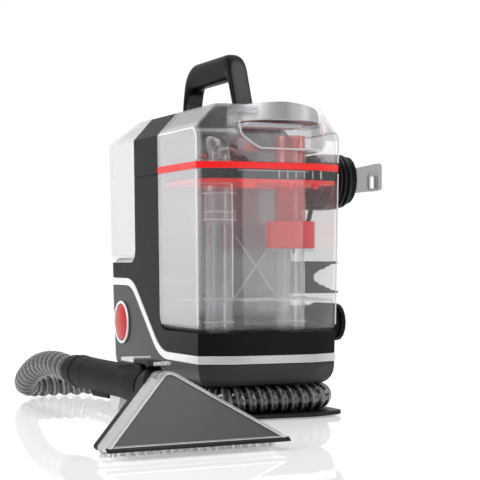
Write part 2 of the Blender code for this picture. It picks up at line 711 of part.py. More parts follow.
def cap_plan(distance):
    """The grip cap from above: a crescent that bulges forward, moved inwards by a distance."""
    half = CAP_HALF - distance
    reach = CAP_REACH - distance
    stretch = half / math.cos(math.radians(CAP_SWEEP))
    curve = [(CAP_X + x * stretch, CAP_CENTRE_Y + y * reach)
             for x, y in arc((0, 0), 1.0, 180 + CAP_SWEEP, 360 - CAP_SWEEP, 12)]
    rear = CAP_REAR - distance
    return [(CAP_X - half, rear)] + curve + [(CAP_X + half, rear)]


def build_lid():
    gasket = body_loft("tank_gasket", "seal_red", [(TANK_RIM + GAP, -0.3), (LID_LOW - GAP, -0.3)])
    keep(gasket, box("gasket_span", None, (-120, 120), (-220, SPINE_FRONT - 0.5), (290, 306)))
    hollow = body_loft("gasket_hollow", None, [(290, 6), (306, 6)])
    keep(hollow, box("gasket_hollow_span", None, (-120, 120), (-220, SPINE_FRONT - 6.5), (280, 310)))
    cut(gasket, hollow)

    rear = SPINE_FRONT - 0.5
    skirt_outer = body_plan(290, WALL + 0.5, rear)
    skirt_inner = body_plan(290, WALL + 6, rear)
    skirt = plate("lid_skirt", "charcoal", [skirt_outer, skirt_inner], "XY", 283.4, TANK_RIM)
    bevel(skirt, 0.8)

    separator = plate("separator_plate", "seal_red", [body_plan(280, WALL + 0.7, rear)], "XY",
                      278.2, 283.0)
    cut(separator, cylinder("separator_hole_a", None, (SUCTION_X, PIPES_Y, 280), 20, 30, "Z", 28))
    cut(separator, cylinder("separator_hole_b", None, (INLET_X, PIPES_Y, 280), 14, 30, "Z", 24))
    ring("shutoff_column", "float_red", (SUCTION_X, PIPES_Y, 287.7), 19.5, 16.5, 105.0, "Z", 28)

    crown = [(330, 0), (336, 2.5), (342, 8), (TOP + 3, 13)]
    lid = body_loft("dirty_tank_lid", "tank_clear",
                    [(LID_LOW, 0)] + [(z, 0, lean) for z, lean in crown])
    keep(lid, side_chamfers("lid_shoulders", 290, 0))
    keep(lid, box("lid_span", None, (-120, 120), (-230, rear), (290, 400)))
    inside = body_loft("lid_hollow", None,
                       [(290, WALL)] + [(z - 1, WALL, lean) for z, lean in crown])
    keep(inside, side_chamfers("lid_hollow_shoulders", 280, WALL))
    keep(inside, box("lid_hollow_span", None, (-120, 120), (-230, rear - WALL), (280, 400)))
    notch = RAIL_HALF + 2.0
    scoop_low = 319.0
    pocket_low = 351.7
    scoop = rounded([(-41, 361, 0, 0), (-41, 334, 4, 2), (-19, scoop_low, 20, 4),
                     (66, scoop_low, 6, 3), (66, 361, 0, 0)])
    scoop_outer = rounded([(-44, 362, 0, 0), (-44, 332, 6, 2), (-20, scoop_low - 3, 23, 4),
                           (69, scoop_low - 3, 8, 3), (69, 362, 0, 0)])
    cut(inside, plate("scoop_block", None, [scoop_outer], "XZ", -230, -132))
    cut(inside, plate("pocket_block", None, [cap_plan(-3.0)], "XY", pocket_low - WALL, 400))
    cut(inside, box("lid_notch_block", None, (-notch - WALL, notch + WALL), (-112, 0),
                    (RAIL_LOW - 2.0 - WALL, 400)))
    cut(lid, inside)
    cut(lid, plate("pocket", None, [cap_plan(-0.4)], "XY", pocket_low, 400))
    cut(lid, plate("scoop", None, [scoop], "XZ", -230, -135))
    cut(lid, box("lid_notch", None, (-notch, notch), (-104, 0), (RAIL_LOW - 2.0, 400)))

    cap = plate("tank_grip_cap", "cap_silver", [cap_plan(0.0)], "XY", 352, 380)
    crest = rounded([(-50, 340, 0, 0), (82, 340, 0, 0), (78, 353, 2, 1), (64, 367, 24, 3),
                     (8, 374.5, 60, 4), (-48, 371.5, 0, 0), (-50, 368, 0, 0)])
    keep(cap, plate("cap_crest", None, [crest], "XZ", -230, -60))
    bevel(cap, 1.6, 2)
    latch = box("tank_latch", "button_grey", (-37, 35), (-176, -148), (343.3, 348.6))
    bevel(latch, 1.5, 2)


# ---------------------------------------------------------------- right side

def build_side_hardware():
    hub = plate("cord_spool", "charcoal",
                [racetrack((SPOOL_Y, SPOOL_Z), CORE_SIZE[0] - 1, CORE_SIZE[1] - 1)],
                "YZ", 94.2, 160)
    flange = racetrack((SPOOL_Y, SPOOL_Z + 2), 112, 62)
    inner_flange = racetrack((SPOOL_Y, SPOOL_Z + 2), 104, 56)
    join(hub, plate("spool_flange", None, [flange], "YZ", COIL_X[1] + 1.0, 164))
    join(hub, plate("spool_back", None, [inner_flange], "YZ", 113, COIL_X[0] - 1.0))
    root = [(-47.0, 282.0), (17.0, 282.0), (17.0, 300.0), (-47.0, 300.0)]
    join(hub, plate("spool_foot", None, [root], "YZ", 94.0, 114))

    window = rounded_box((202, 211), (282, 298), 1.5, 2)
    arm = rounded([(160, 273, 0, 0), (219, 280, 4, 3), (219, 316, 4, 3), (160, 304, 0, 0)])
    bracket = plate("accessory_bracket", "button_grey", [arm, window], "XZ", -36, -28)
    cut(bracket, box("bracket_root", None, (100, 164.4), (-60, 0), (250, 340)))
    bevel(bracket, 0.8, 1, 50.0)

    claw = [(94.2, 144), (170, 144), (170, 147.5)]
    steps = ((160, 150.5), (152, 154.5), (143, 158.0))
    lower = []
    for x, z in steps:
        lower += [(x, z - 3.0), (x - 2.0, z)]
    bore = [(136, 160), (134.5, 165), (136, 170)]
    upper = [(x, 330 - z) for x, z in reversed(lower)]
    outline = claw + lower + bore + upper + [(170, 182.5), (170, 186), (94.2, 186)]
    plate("tool_clip", "charcoal", [outline], "XZ", -4, 24)

    hook = plate("lower_cord_hook", "charcoal", [racetrack((-12, 107.5), 96, 42)], "YZ", 94.2, 146)
    join(hook, plate("hook_lip", None, [racetrack((-12, 107.5), 104, 48)], "YZ", 145, 151))


def build_cord():
    gland = [(9, 0), (5.0, 22), (5.0, 26)]
    profile = [(0, 26)] + list(reversed(gland)) + [(7.6, 0), (7.6, -4), (0, -4)]
    turned("cord_gland", "rubber", profile, (94.4, 4, 236), "X", 20, closed=False)
    lead = [(120.8, 4, 236), (128, 3.4, 236.4), (135, -2, 239.4), (138, -12, 244.4),
            (138, -26, 248.8), (138, -40, 250.4)]
    pipe("power_cord_lead", "cord_black", lead, CORD_RADIUS, 6, 2)
    plate("power_cord_coil", "cord_black",
                 [racetrack((SPOOL_Y, SPOOL_Z), *COIL_SIZE), racetrack((SPOOL_Y, SPOOL_Z), *CORE_SIZE)],
                 "YZ", *COIL_X)
    tail = [(138, 48.6, 290), (138, 49.0, 278), (138, 50.5, 264), (138, 51.5, 252)]
    pipe("power_cord_tail", "cord_black", tail, CORD_RADIUS, 6, 2)
    plug = [(0, 0), (4.6, 0), (5.4, -10), (12.5, -16), (13.5, -38), (0, -38)]
    turned("power_plug", "cord_black", plug, (138, 51.7, 251.6), "Z", 16, closed=False)
    body = bpy.data.objects["power_plug"]
    for name, x in (("blade_a", 131.6), ("blade_b", 144.4)):
        join(body, box(name, None, (x - 0.8, x + 0.8), (48.5, 54.9), (196.0, 214.0)))


# ---------------------------------------------------------------- hose, wand and nozzle

HOSE_ROUTE = [
    (12.6, 150, 22.5), (26, 150, 22.5), (46, 147.5, 22.5), (68, 138, 22.5), (83, 118, 22.5),
    (88, 86, 22.5), (88, 20, 22.5), (88, -50, 22.5), (87, -98, 22.5), (77, -134, 22.5),
    (52, -152, 22.5), (4, -156, 22.5), (-44, -150.5, 22.5), (-66, -133, 22.5),
    (-75, -100, 22.5), (-76, -50, 22.5), (-76, 20, 22.5), (-76, 90, 22.5), (-77, 140, 22.5),
    (-80, 178, 22.5), (-91, 209, 19), (-113, 226, 16.4), (-142, 231, 16.1), (-171, 224, 16.1),
    (-194, 204, 19.5), (-205, 172, 28), (-210, 132, 40), (-213, 85, 52), (-214, 35, 59),
    (-215, -16, 60.5), (-215, -50, 58), (-215, -77.7, 58),
]


def build_hose():
    elbow = [(-30, 122.4, CHANNEL_MID), (-30, 134, CHANNEL_MID), (-24, 146, CHANNEL_MID),
             (-10, 150, CHANNEL_MID), (12.2, 150, CHANNEL_MID)]
    pipe("hose_port_elbow", "base_black", elbow, 14.2, 9, 3)
    pipe("hose", "hose_grey", HOSE_ROUTE, HOSE_RADIUS, 25, 4)
    cuff = [(AIRWAY, 36), (15.5, 36), (18.2, 32), (18.5, 8), (19.4, 7), (19.4, 2), (18.6, 1),
            (18.6, -36), (AIRWAY, -36)]
    turned("hose_cuff", "charcoal", cuff, (WAND_X, -114, WAND_Z), "Y", 28)


def build_wand():
    body = [(0, 97), (18.4, 97), (18.4, -20), (19.6, -48), (20.6, -60), (20.6, -96.6), (0, -96.6)]
    wand = turned("wand_body", "charcoal", body, (WAND_X, -247.6, WAND_Z), "Y", 28, closed=False)
    boss = rounded([(-341, 60, 0, 0), (-268, 60, 0, 0), (-268, 74, 0, 0), (-276, 77, 3, 2),
                    (-310, 77, 0, 0), (-316, 81, 0, 0), (-336, 81, 3, 2), (-341, 76, 0, 0)])
    join(wand, plate("wand_boss", None, [boss], "YZ", WAND_X - 11, WAND_X + 11))
    under = rounded([(-226, 44, 0, 0), (-226, 37, 0, 0), (-172, 36, 3, 2), (-160, 44, 0, 0)])
    join(wand, plate("wand_tab", None, [under], "YZ", WAND_X - 8, WAND_X + 8))
    cut(wand, cylinder("wand_bore", None, (WAND_X, -247.6, AIRWAY_Z), AIRWAY, 260, "Y", 20))
    cut(wand, box("trigger_slot", None, (WAND_X - 7.5, WAND_X + 7.5), (-268, -226.4), (20, 50)))

    trigger = rounded([(-228, 48, 1.5, 2), (-229, 38, 0, 0), (-234, 24, 2, 2), (-256, 27, 2, 2),
                       (-263, 39, 0, 0), (-263, 43.5, 1.5, 2)])
    bevel(plate("wand_trigger", "button_grey", [list(reversed(trigger))], "YZ",
                WAND_X - 6.8, WAND_X + 6.8), 1.0, 1, 50.0)
    latch = rounded([(-356, 78.5, 1, 2), (-346, 81.3, 0, 0), (-314, 81.3, 0, 0), (-314, 84.5, 1, 2),
                     (-344, 85, 4, 3), (-357, 81, 1, 2)])
    bevel(plate("wand_latch", "charcoal", [latch], "YZ", WAND_X - 9, WAND_X + 9), 0.8, 1, 50.0)
    button = rounded([(-313.6, 81.3, 0, 0), (-274, 81.3, 0, 0), (-275, 85, 1.5, 2),
                      (-311, 87.5, 2, 2), (-313.6, 86, 0, 0)])
    bevel(plate("wand_button", "button_grey", [button], "YZ", WAND_X - 9.5, WAND_X + 9.5),
          1.0, 1, 50.0)


def nozzle_place(obj):
    """Move a piece from the nozzle's own axes, whose origin is its foot, to where it lies."""
    turn = Matrix.Rotation(math.radians(NOZZLE_YAW), 4, "Z")
    obj.matrix_basis = Matrix.Translation(Vector(NOZZLE_FOOT) * MM) @ turn @ obj.matrix_basis
    return obj


def fan(name, slot, distance, front, back):
    """The nozzle's triangle, moved inwards by a distance, drawn out from front to back."""
    rise = math.radians(NOZZLE_RISE)
    sides = inset([(-NOZZLE_HALF, 0), (NOZZLE_HALF, 0), (0, NOZZLE_SLANT)], distance)
    radii = (max(4.5 - distance, 0.8), max(4.5 - distance, 0.8), max(13 - distance, 6))
    outline = rounded([(x, v, radius, 4) for (x, v), radius in zip(sides, radii)])
    rings = []
    for depth in (back, front):
        rings.append([(x, math.cos(rise) * v + depth, math.sin(rise) * v) for x, v in outline])
    return nozzle_place(loft(name, slot, rings))


def build_nozzle():
    fan("nozzle_panel", "tool_grey", 4.4, 0.8, 3.4)
    half = NOZZLE_HALF - 9.5
    window = fan("nozzle_window", "tank_clear", 0.0, 0.0, 19.0)
    cut(window, fan("window_hollow", None, 3.0, 3.8, 23.0))
    cut(window, fan("panel_seat", None, 4.0, -8.0, 5.0))
    cut(window, nozzle_place(box("suction_slot", None, (-half, half), (6, 17), (-6, 5))))
    frame = fan("nozzle_frame", "charcoal", 0.2, 19.4, 29.0)
    cut(frame, fan("frame_hollow_fan", None, 3.2, 10.0, 26.0))
    join(frame, cylinder("nozzle_neck", None, (WAND_X, -370, WAND_Z), 19.8, 50, "Y", 28))
    cut(frame, fan("window_space", None, -60.0, -150.0, 19.4))
    cut(frame, cylinder("neck_bore", None, (WAND_X, -352, WAND_Z - 1), 13, 60, "Y", 20))
    cut(frame, box("wand_space", None, (WAND_X - 40, WAND_X + 40), (-344.7, -300), (20, 120)))

    strip = nozzle_place(box("bristle_strip", "bristle", (-half, half), (21, 29), (-7.3, -GAP)))
    bevel(strip, 0.8)
    tip = [(8.5, 1.8), (8.5, -1.8), (4.6, -1.8), (4.6, 1.8)]
    spout = turned("spray_tip", "tank_clear", tip, (0, 0, 0), "Z", 24)
    place(spout, (WAND_X, -372, 83.4), Matrix.Rotation(math.radians(-8), 4, "X"))


# ---------------------------------------------------------------- assembly

for old in list(bpy.data.objects):
    bpy.data.objects.remove(old, do_unlink=True)
PARTS = new_collection("spot_extractor")
TOOLS = new_collection("construction")

build_base()
build_housing()
build_trim()
build_frame()
build_spine_cover()
build_handle()
build_badge()
build_grille()
build_works()
build_clean_tank()
build_dirty_tank()
build_lid()
build_side_hardware()
build_cord()
build_hose()
build_wand()
build_nozzle()
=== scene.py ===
"""Looks of the spot extractor: clear tanks, ribbed hose, wound cord, wand and studio, round its frame.

Positions are in the frame's own axes: +X right, +Y back, +Z up.  Lengths below are in millimetres
and MM turns them into Blender's metres.
"""

import json
import math
import random

import bmesh
import bpy
from mathutils import Matrix, Vector


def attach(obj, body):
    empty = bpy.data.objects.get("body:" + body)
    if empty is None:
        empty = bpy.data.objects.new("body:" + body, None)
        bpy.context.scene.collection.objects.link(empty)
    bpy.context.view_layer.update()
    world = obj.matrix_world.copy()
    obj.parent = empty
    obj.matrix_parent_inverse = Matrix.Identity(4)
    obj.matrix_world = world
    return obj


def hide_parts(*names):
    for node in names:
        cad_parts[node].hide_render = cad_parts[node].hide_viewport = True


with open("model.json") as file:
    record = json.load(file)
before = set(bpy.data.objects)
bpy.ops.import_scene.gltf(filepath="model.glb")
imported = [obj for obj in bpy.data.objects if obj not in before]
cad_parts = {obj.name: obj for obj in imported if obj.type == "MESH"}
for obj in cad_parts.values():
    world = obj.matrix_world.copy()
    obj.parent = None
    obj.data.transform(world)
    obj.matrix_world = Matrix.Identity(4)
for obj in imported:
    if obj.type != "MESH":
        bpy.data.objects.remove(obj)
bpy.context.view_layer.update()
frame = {"nodes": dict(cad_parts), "record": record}
MM = 0.001
NODES = frame["nodes"]
BODY_OF = {node: body for body, nodes in frame["record"]["behaviour"]["bodies"].items() for node in nodes}


# ---------------------------------------------------------------- node graphs

class Graph:
    """A material's node tree, built by short calls."""

    def __init__(self, name):
        self.material = bpy.data.materials.new(name)
        self.material.use_nodes = True
        self.tree = self.material.node_tree
        self.tree.nodes.clear()
        self.output = self.tree.nodes.new("ShaderNodeOutputMaterial")
        self.place = self.add("TexCoord").outputs["Object"]

    def add(self, kind, inputs=None, **settings):
        """A new shader node, its settings made and its inputs linked or filled in."""
        node = self.tree.nodes.new("ShaderNode" + kind)
        for key, value in settings.items():
            setattr(node, key, value)
        for key, value in (inputs or {}).items():
            if isinstance(value, bpy.types.NodeSocket):
                self.tree.links.new(value, node.inputs[key])
            else:
                socket = node.inputs[key]
                socket.default_value = (*value[:3], 1.0) if socket.type == "RGBA" else value
        return node

    def stretched(self, scale):
        """Object coordinates scaled differently along each axis."""
        return self.add("Mapping", {"Vector": self.place, "Scale": scale}).outputs[0]

    def noise(self, scale, detail=3.0, place=None):
        """Cloudy noise, in object coordinates unless a place is given."""
        inputs = {"Vector": place or self.place, "Scale": scale, "Detail": detail}
        return self.add("TexNoise", inputs).outputs["Fac"]

    def spread(self, fac, low, high, start=0.3, end=0.7):
        """A number that goes from low to high as fac goes from start to end."""
        inputs = {"Value": fac, "From Min": start, "From Max": end, "To Min": low, "To Max": high}
        return self.add("MapRange", inputs).outputs[0]

    def blend(self, fac, first, second):
        """A colour between the first and the second, each a colour or a socket."""
        node = self.add("Mix", {0: fac}, data_type="RGBA")
        for socket, color in ((node.inputs[6], first), (node.inputs[7], second)):
            if isinstance(color, bpy.types.NodeSocket):
                self.tree.links.new(color, socket)
            else:
                socket.default_value = (*color[:3], 1.0)
        return node.outputs[2]

    def bump(self, height, strength, distance=0.0004, normal=None):
        """A normal roughened by a height, on top of another normal if one is given."""
        inputs = {"Height": height, "Strength": strength, "Distance": distance}
        if normal:
            inputs["Normal"] = normal
        return self.add("Bump", inputs).outputs[0]

    def finish(self, shader):
        """Put the shader on the surface and hand back the material."""
        self.tree.links.new(shader.outputs[0], self.output.inputs["Surface"])
        return self.material


def shade(color, factor):
    """A colour made lighter or darker."""
    return (color[0] * factor, color[1] * factor, color[2] * factor, 1.0)


def plastic(name, color, rough, specular=0.5, metallic=0.0, grain=1400.0, depth=0.12, coat=0.0, painted_glow=0.0,
            front=None, levels=(0.105, 0.150), slopes=(-0.99, -0.9)):
    """Moulded plastic: mottled colour, a fine spark-eroded grain and hairline rubs in the gloss.

    Faces to the front take the front colour, which stands in for the fill light on them.  It fades in
    between the two levels, in metres, and between the two slopes, from the full tint to none.
    """
    g = Graph(name)
    cloud = g.noise(18.0, 4.0)
    tone = g.blend(g.spread(cloud, 0.0, 1.0), shade(color, 0.96), shade(color, 1.04))
    if front:
        surface = g.add("NewGeometry")
        backward = g.add("SeparateXYZ", {0: surface.outputs["Normal"]}).outputs[1]
        faces_front = g.spread(backward, 1.0, 0.0, *slopes)
        height = g.add("SeparateXYZ", {0: surface.outputs["Position"]}).outputs[2]
        lit = g.add("Math", {0: faces_front, 1: g.spread(height, 0.0, 1.0, *levels)}, operation="MULTIPLY")
        tone = g.blend(lit.outputs[0], tone, shade(front, 1.0))
    rubs = g.noise(60.0, 5.0, g.stretched((1.0, 9.0, 3.0)))
    gloss = g.spread(rubs, rough * 0.93, rough * 1.08, 0.35, 0.65)
    skin = g.bump(g.noise(grain, 2.0), depth, 0.00012)
    inputs = {"Base Color": tone, "Roughness": gloss, "Metallic": metallic, "Normal": skin,
              "Specular IOR Level": specular, "Coat Weight": coat, "Coat Roughness": 0.08}
    # painted light: a glow on a part that is no lamp, which brightens it
    if painted_glow:
        inputs["Emission Color"] = shade(color, 1.0)
        inputs["Emission Strength"] = painted_glow
    return g.finish(g.add("BsdfPrincipled", inputs))


def brushed(name, color, rough, stretch, metallic=1.0):
    """Metal or metal-effect paint with fine brush lines along one axis."""
    g = Graph(name)
    lines = g.noise(90.0, 6.0, g.stretched(stretch))
    tone = g.blend(g.spread(lines, 0.0, 1.0), shade(color, 0.86), shade(color, 1.08))
    inputs = {"Base Color": tone, "Metallic": metallic,
              "Roughness": g.spread(lines, rough * 0.8, rough * 1.2), "Normal": g.bump(lines, 0.10, 0.0001)}
    return g.finish(g.add("BsdfPrincipled", inputs))


LEFT_WALL_REFLECTION_X = (-0.0894, -0.0855)     # the left wall's painted reflection fades out between these, in metres


def clear(name, tint, haze, mirror=1.0, rough=0.03, haze_tone=(0.85, 0.86, 0.87), wall=0.0):
    """Clear moulded plastic: see-through head on, glossy at a glancing angle, with a faint flow haze.

    The left side wall carries a painted reflection of the bright studio: there the haze grows by the amount
    of wall.
    """
    g = Graph(name)
    flow = g.noise(9.0, 4.0, g.stretched((1.0, 1.0, 0.35)))
    skin = g.bump(g.noise(22.0, 2.0), 0.04, 0.0006)
    facing = g.add("LayerWeight", {"Blend": 0.5, "Normal": skin}).outputs["Facing"]
    slant = g.add("Math", {0: facing, 1: 4.0}, operation="POWER").outputs[0]
    pure = g.blend(g.spread(flow, 0.0, 1.0), tint, shade(tint, 0.985))
    rim = g.blend(g.spread(slant, 0.0, 1.0, 0.06, 0.9), pure, shade(tint, 0.5))
    through = g.add("BsdfTransparent", {"Color": rim})
    film = g.add("BsdfDiffuse", {"Color": haze_tone, "Normal": skin})
    gloss = g.add("BsdfGlossy", {"Color": (0.97, 0.98, 1.0), "Normal": skin,
                                 "Roughness": g.spread(g.noise(40.0, 4.0), rough * 0.6, rough * 1.6)})
    milk = g.spread(flow, haze * 0.7, haze * 1.3)
    # painted reflection: extra white haze on the left side wall, standing in for its glancing reflection
    if wall:
        world = g.add("NewGeometry").outputs["Position"]
        across = g.add("SeparateXYZ", {0: world}).outputs[0]
        painted_reflection = g.spread(across, wall, 0.0, *LEFT_WALL_REFLECTION_X)
        milk = g.add("Math", {0: milk, 1: painted_reflection}, operation="ADD").outputs[0]
    body = g.add("MixShader", {0: milk})
    g.tree.links.new(through.outputs[0], body.inputs[1])
    g.tree.links.new(film.outputs[0], body.inputs[2])
    both = g.add("MixShader", {0: g.spread(slant, 0.035 * mirror, 0.9 * mirror, 0.0, 1.0)})
    g.tree.links.new(body.outputs[0], both.inputs[1])
    g.tree.links.new(gloss.outputs[0], both.inputs[2])
    return g.finish(both)


def hose_wall():
    """Clear ribbed hose: glossy dark grooves and paler crests, with fine moulded ridges along the spiral
    that carry painted highlights.
    """
    g = Graph("hose_grey")
    crest = g.add("Attribute", attribute_name="crest").outputs["Fac"]
    ridge_highlight = g.spread(g.add("Attribute", attribute_name="ridge_highlight").outputs["Fac"], 0.0, 1.0, 0.60, 0.98)
    deep = g.blend(g.spread(crest, 0.0, 1.0, 0.3, 0.98), (0.003, 0.003, 0.0035), (0.040, 0.041, 0.043))
    loose = g.add("Attribute", attribute_name="loose").outputs["Fac"]
    # painted highlight along the moulding lines, dimmed as painted shade where the hose is wrapped round
    # the base, brightest in the loose loop
    painted_highlight = g.add("Math", {0: ridge_highlight, 1: g.spread(loose, 0.42, 0.95)}, operation="MULTIPLY").outputs[0]
    tone = g.blend(painted_highlight, deep, (0.46, 0.47, 0.48))
    skin = g.bump(ridge_highlight, 0.35, 0.0004, g.bump(g.noise(160.0), 0.08, 0.0003))
    wall = g.add("BsdfPrincipled", {"Base Color": tone, "Roughness": g.spread(g.noise(70.0), 0.06, 0.13),
                                    "Specular IOR Level": 0.6, "Coat Weight": 0.4, "Coat Roughness": 0.03,
                                    "Normal": skin})
    through = g.add("BsdfTransparent", {"Color": (0.86, 0.87, 0.88)})
    grooves = g.spread(crest, 0.97, 0.80, 0.1, 0.9)
    solid = g.add("Math", {0: grooves, 1: g.spread(loose, 1.0, 0.94)}, operation="MULTIPLY")
    both = g.add("MixShader", {0: solid.outputs[0]})
    g.tree.links.new(through.outputs[0], both.inputs[1])
    g.tree.links.new(wall.outputs[0], both.inputs[2])
    return g.finish(both)


CHARCOAL = (0.0072, 0.0076, 0.0083)
WATER_CLEAR = (0.975, 0.978, 0.98)
LOOKS = {
    "charcoal": plastic("charcoal", CHARCOAL, 0.42, 0.08, depth=0.04),
    "base_black": plastic("base_black", (0.006, 0.006, 0.0065), 0.42, 0.2, depth=0.04),
    "housing_grey": plastic("housing_grey", (0.034, 0.035, 0.037), 0.34, 0.20, 0.1, 2200.0, 0.03),
    # the silver trim glows a little as painted light, and its front faces take a darker grey as painted
    # shade
    "silver_trim": plastic("silver_trim", (0.64, 0.65, 0.66), 0.24, 0.5, 0.2, 900.0, 0.03, 0.3, 0.17,
                           front=(0.38, 0.385, 0.39), levels=(-1.0, -0.9)),
    "cap_silver": brushed("cap_silver", (0.50, 0.51, 0.52), 0.46, (1.0, 26.0, 26.0), 0.7),
    # the handle's forward-facing faces take a lighter grey as painted fill light
    "handle_black": plastic("handle_black", (0.0042, 0.0044, 0.0048), 0.36, 0.05, depth=0.03,
                            front=(0.115, 0.117, 0.122), levels=(0.2, 0.3), slopes=(-0.95, -0.72)),
    # wall=0.24 sets the strength of the left side wall's painted reflection
    "tank_clear": clear("tank_clear", WATER_CLEAR, 0.036, wall=0.24),
    # seal_red, float_red and badge_red glow a little, though they are no lamps: painted light
    "seal_red": plastic("seal_red", (0.80, 0.008, 0.008), 0.30, 0.4, 0.0, 900.0, 0.05, 0.0, 0.22),
    "float_red": plastic("float_red", (0.72, 0.03, 0.035), 0.35, 0.4, 0.0, 700.0, 0.08, 0.0, 0.10),
    "badge_red": plastic("badge_red", (0.44, 0.003, 0.005), 0.24, 0.14, 0.0, 500.0, 0.02, 0.08, 0.05),
    "rubber": plastic("rubber", (0.012, 0.012, 0.012), 0.75, 0.25, 0.0, 500.0, 0.3),
    "cord_black": plastic("cord_black", (0.004, 0.004, 0.0045), 0.38, 0.22, 0.0, 420.0, 0.08),
    "motor_steel": brushed("motor_steel", (0.56, 0.56, 0.57), 0.28, (1.0, 1.0, 40.0)),
    "pump_white": plastic("pump_white", (0.72, 0.72, 0.69), 0.4),
    "duct_grey": plastic("duct_grey", (0.24, 0.24, 0.25), 0.45),
    "tool_grey": plastic("tool_grey", (0.074, 0.076, 0.0787), 0.36, 0.25, 0.0, 1800.0, 0.03, 0.08),
    "button_grey": plastic("button_grey", (0.44, 0.445, 0.45), 0.38),
    "hose_grey": hose_wall(),
    "bristle": clear("bristle", (0.95, 0.95, 0.945), 0.42, 0.6, 0.25),
}
# the spine's front faces, from about 0.1 m up, take light grey as painted fill light
SPINE_LOOK = plastic("charcoal_spine", CHARCOAL, 0.42, 0.08, depth=0.04, front=(0.30, 0.303, 0.308))
PIPE_LOOK = clear("pipe_clear", WATER_CLEAR, 0.05, 2.2, 0.05)
RIB_LOOK = clear("rib_clear", (0.98, 0.98, 0.98), 0.42, 1.4, 0.08, (0.95, 0.95, 0.96))
# white hazy clear for rods that paint highlights along edges
HIGHLIGHT_LOOK = clear("highlight_clear", (0.98, 0.98, 0.98), 0.75, 1.2, 0.10, (0.97, 0.97, 0.98))
COLUMN_LOOK = clear("column_red", (0.97, 0.66, 0.66), 0.20, 1.6, 0.05, (0.86, 0.04, 0.045))
WAND_LOOK = plastic("wand_black", (0.0048, 0.0050, 0.0053), 0.45, 0.03, depth=0.04)


# ---------------------------------------------------------------- camera, floor and light

def aim_camera():
    """One long lens, a little above the floor, to the left of the front."""
    cam = bpy.data.objects.new("camera", bpy.data.cameras.new("camera"))
    ahead = Vector((0.39677, 0.91780, 0.01510)).normalized()
    right = Vector((ahead.y, -ahead.x, 0.0)).normalized()
    up = right.cross(ahead)
    turn = Matrix((right, up, -ahead)).transposed().to_4x4()
    cam.matrix_world = Matrix.Translation((-0.7387, -1.77963, 0.18418)) @ turn
    cam.data.lens = 112.64
    cam.data.sensor_width = 36.0
    bpy.context.scene.collection.objects.link(cam)
    bpy.context.scene.camera = cam


def build_floor():
    """A white floor with a soft mirror, which is a stage piece."""
    g = Graph("studio_floor")
    soft = g.spread(g.noise(1.2, 2.0), 0.018, 0.034)
    matt = g.add("BsdfPrincipled", {"Base Color": (0.93, 0.93, 0.935, 1), "Roughness": 0.7,
                                    "Emission Color": (1, 1, 1, 1), "Emission Strength": 0.62})
    gloss = g.add("BsdfGlossy", {"Color": (0.95, 0.95, 0.96, 1), "Roughness": soft})
    both = g.add("MixShader", {0: 0.5})
    g.tree.links.new(matt.outputs[0], both.inputs[1])
    g.tree.links.new(gloss.outputs[0], both.inputs[2])
    bpy.ops.mesh.primitive_circle_add(vertices=64, radius=9.0, fill_type="NGON", location=(0, 0, -0.0004))
    floor = bpy.context.object
    floor.name = "studio_floor"
    floor.data.materials.append(g.finish(both))


def light_world():
    """White to the camera; as a light it is dim at the front and brighter towards the back."""
    world = bpy.data.worlds.new("studio_white")
    world.use_nodes = True
    nodes, links = world.node_tree.nodes, world.node_tree.links
    place = nodes.new("ShaderNodeTexCoord")
    split = nodes.new("ShaderNodeSeparateXYZ")
    ramp = nodes.new("ShaderNodeMapRange")
    path = nodes.new("ShaderNodeLightPath")
    seen = nodes.new("ShaderNodeMapRange")
    ramp.inputs["From Min"].default_value = -0.55
    ramp.inputs["From Max"].default_value = 0.75
    ramp.inputs["To Min"].default_value = 0.20
    ramp.inputs["To Max"].default_value = 0.92
    ramp.interpolation_type = "SMOOTHSTEP"
    seen.inputs["To Max"].default_value = 1.02
    links.new(place.outputs["Generated"], split.inputs[0])
    links.new(split.outputs["Y"], ramp.inputs["Value"])
    links.new(path.outputs["Is Camera Ray"], seen.inputs["Value"])
    links.new(ramp.outputs[0], seen.inputs["To Min"])
    links.new(seen.outputs[0], nodes["Background"].inputs["Strength"])
    nodes["Background"].inputs["Color"].default_value = (1.0, 1.0, 1.0, 1.0)
    bpy.context.scene.world = world


def hang_lamps():
    """Soft boxes at the left, the right and overhead, and a weak card in front."""
    for name, spot, aim, size, power in (
            ("left_box", (-2.1, 0.0, 1.0), (0, 0, 0.2), 1.3, 30.0),
            ("front_card", (0.95, -2.25, 0.35), (0, 0, 0.2), 0.9, 4.5),
            ("right_box", (2.0, -1.2, 0.9), (0, 0, 0.2), 1.0, 11.0),
            ("top_box", (0.2, -0.1, 2.2), (0, 0, 0.2), 1.6, 20.0)):
        lamp = bpy.data.objects.new(name, bpy.data.lights.new(name, "AREA"))
        lamp.data.size = size
        lamp.data.energy = power
        lamp.location = spot
        lamp.visible_camera = False
        lamp.rotation_euler = (Vector(aim) - Vector(spot)).to_track_quat("-Z", "Y").to_euler()
        bpy.context.scene.collection.objects.link(lamp)


def set_render():
    """Plain colour, and enough bounces to see through both walls of a tank."""
    scene = bpy.context.scene
    scene.view_settings.view_transform = "Standard"
    scene.cycles.transparent_max_bounces = 48
    scene.cycles.max_bounces = 10


aim_camera()
build_floor()
light_world()
hang_lamps()
set_render()


# ---------------------------------------------------------------- mesh helpers

def made(name, mesh, slot, body, *nodes, look=None):
    """Give a new mesh its material, from its slot unless a look is given, and its body, and hide the CAD
    nodes it stands for.
    """
    obj = bpy.data.objects.new(name, mesh)
    bpy.context.scene.collection.objects.link(obj)
    mesh.materials.append(look or LOOKS[slot])
    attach(obj, body)
    if nodes:
        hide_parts(*nodes)
    return obj


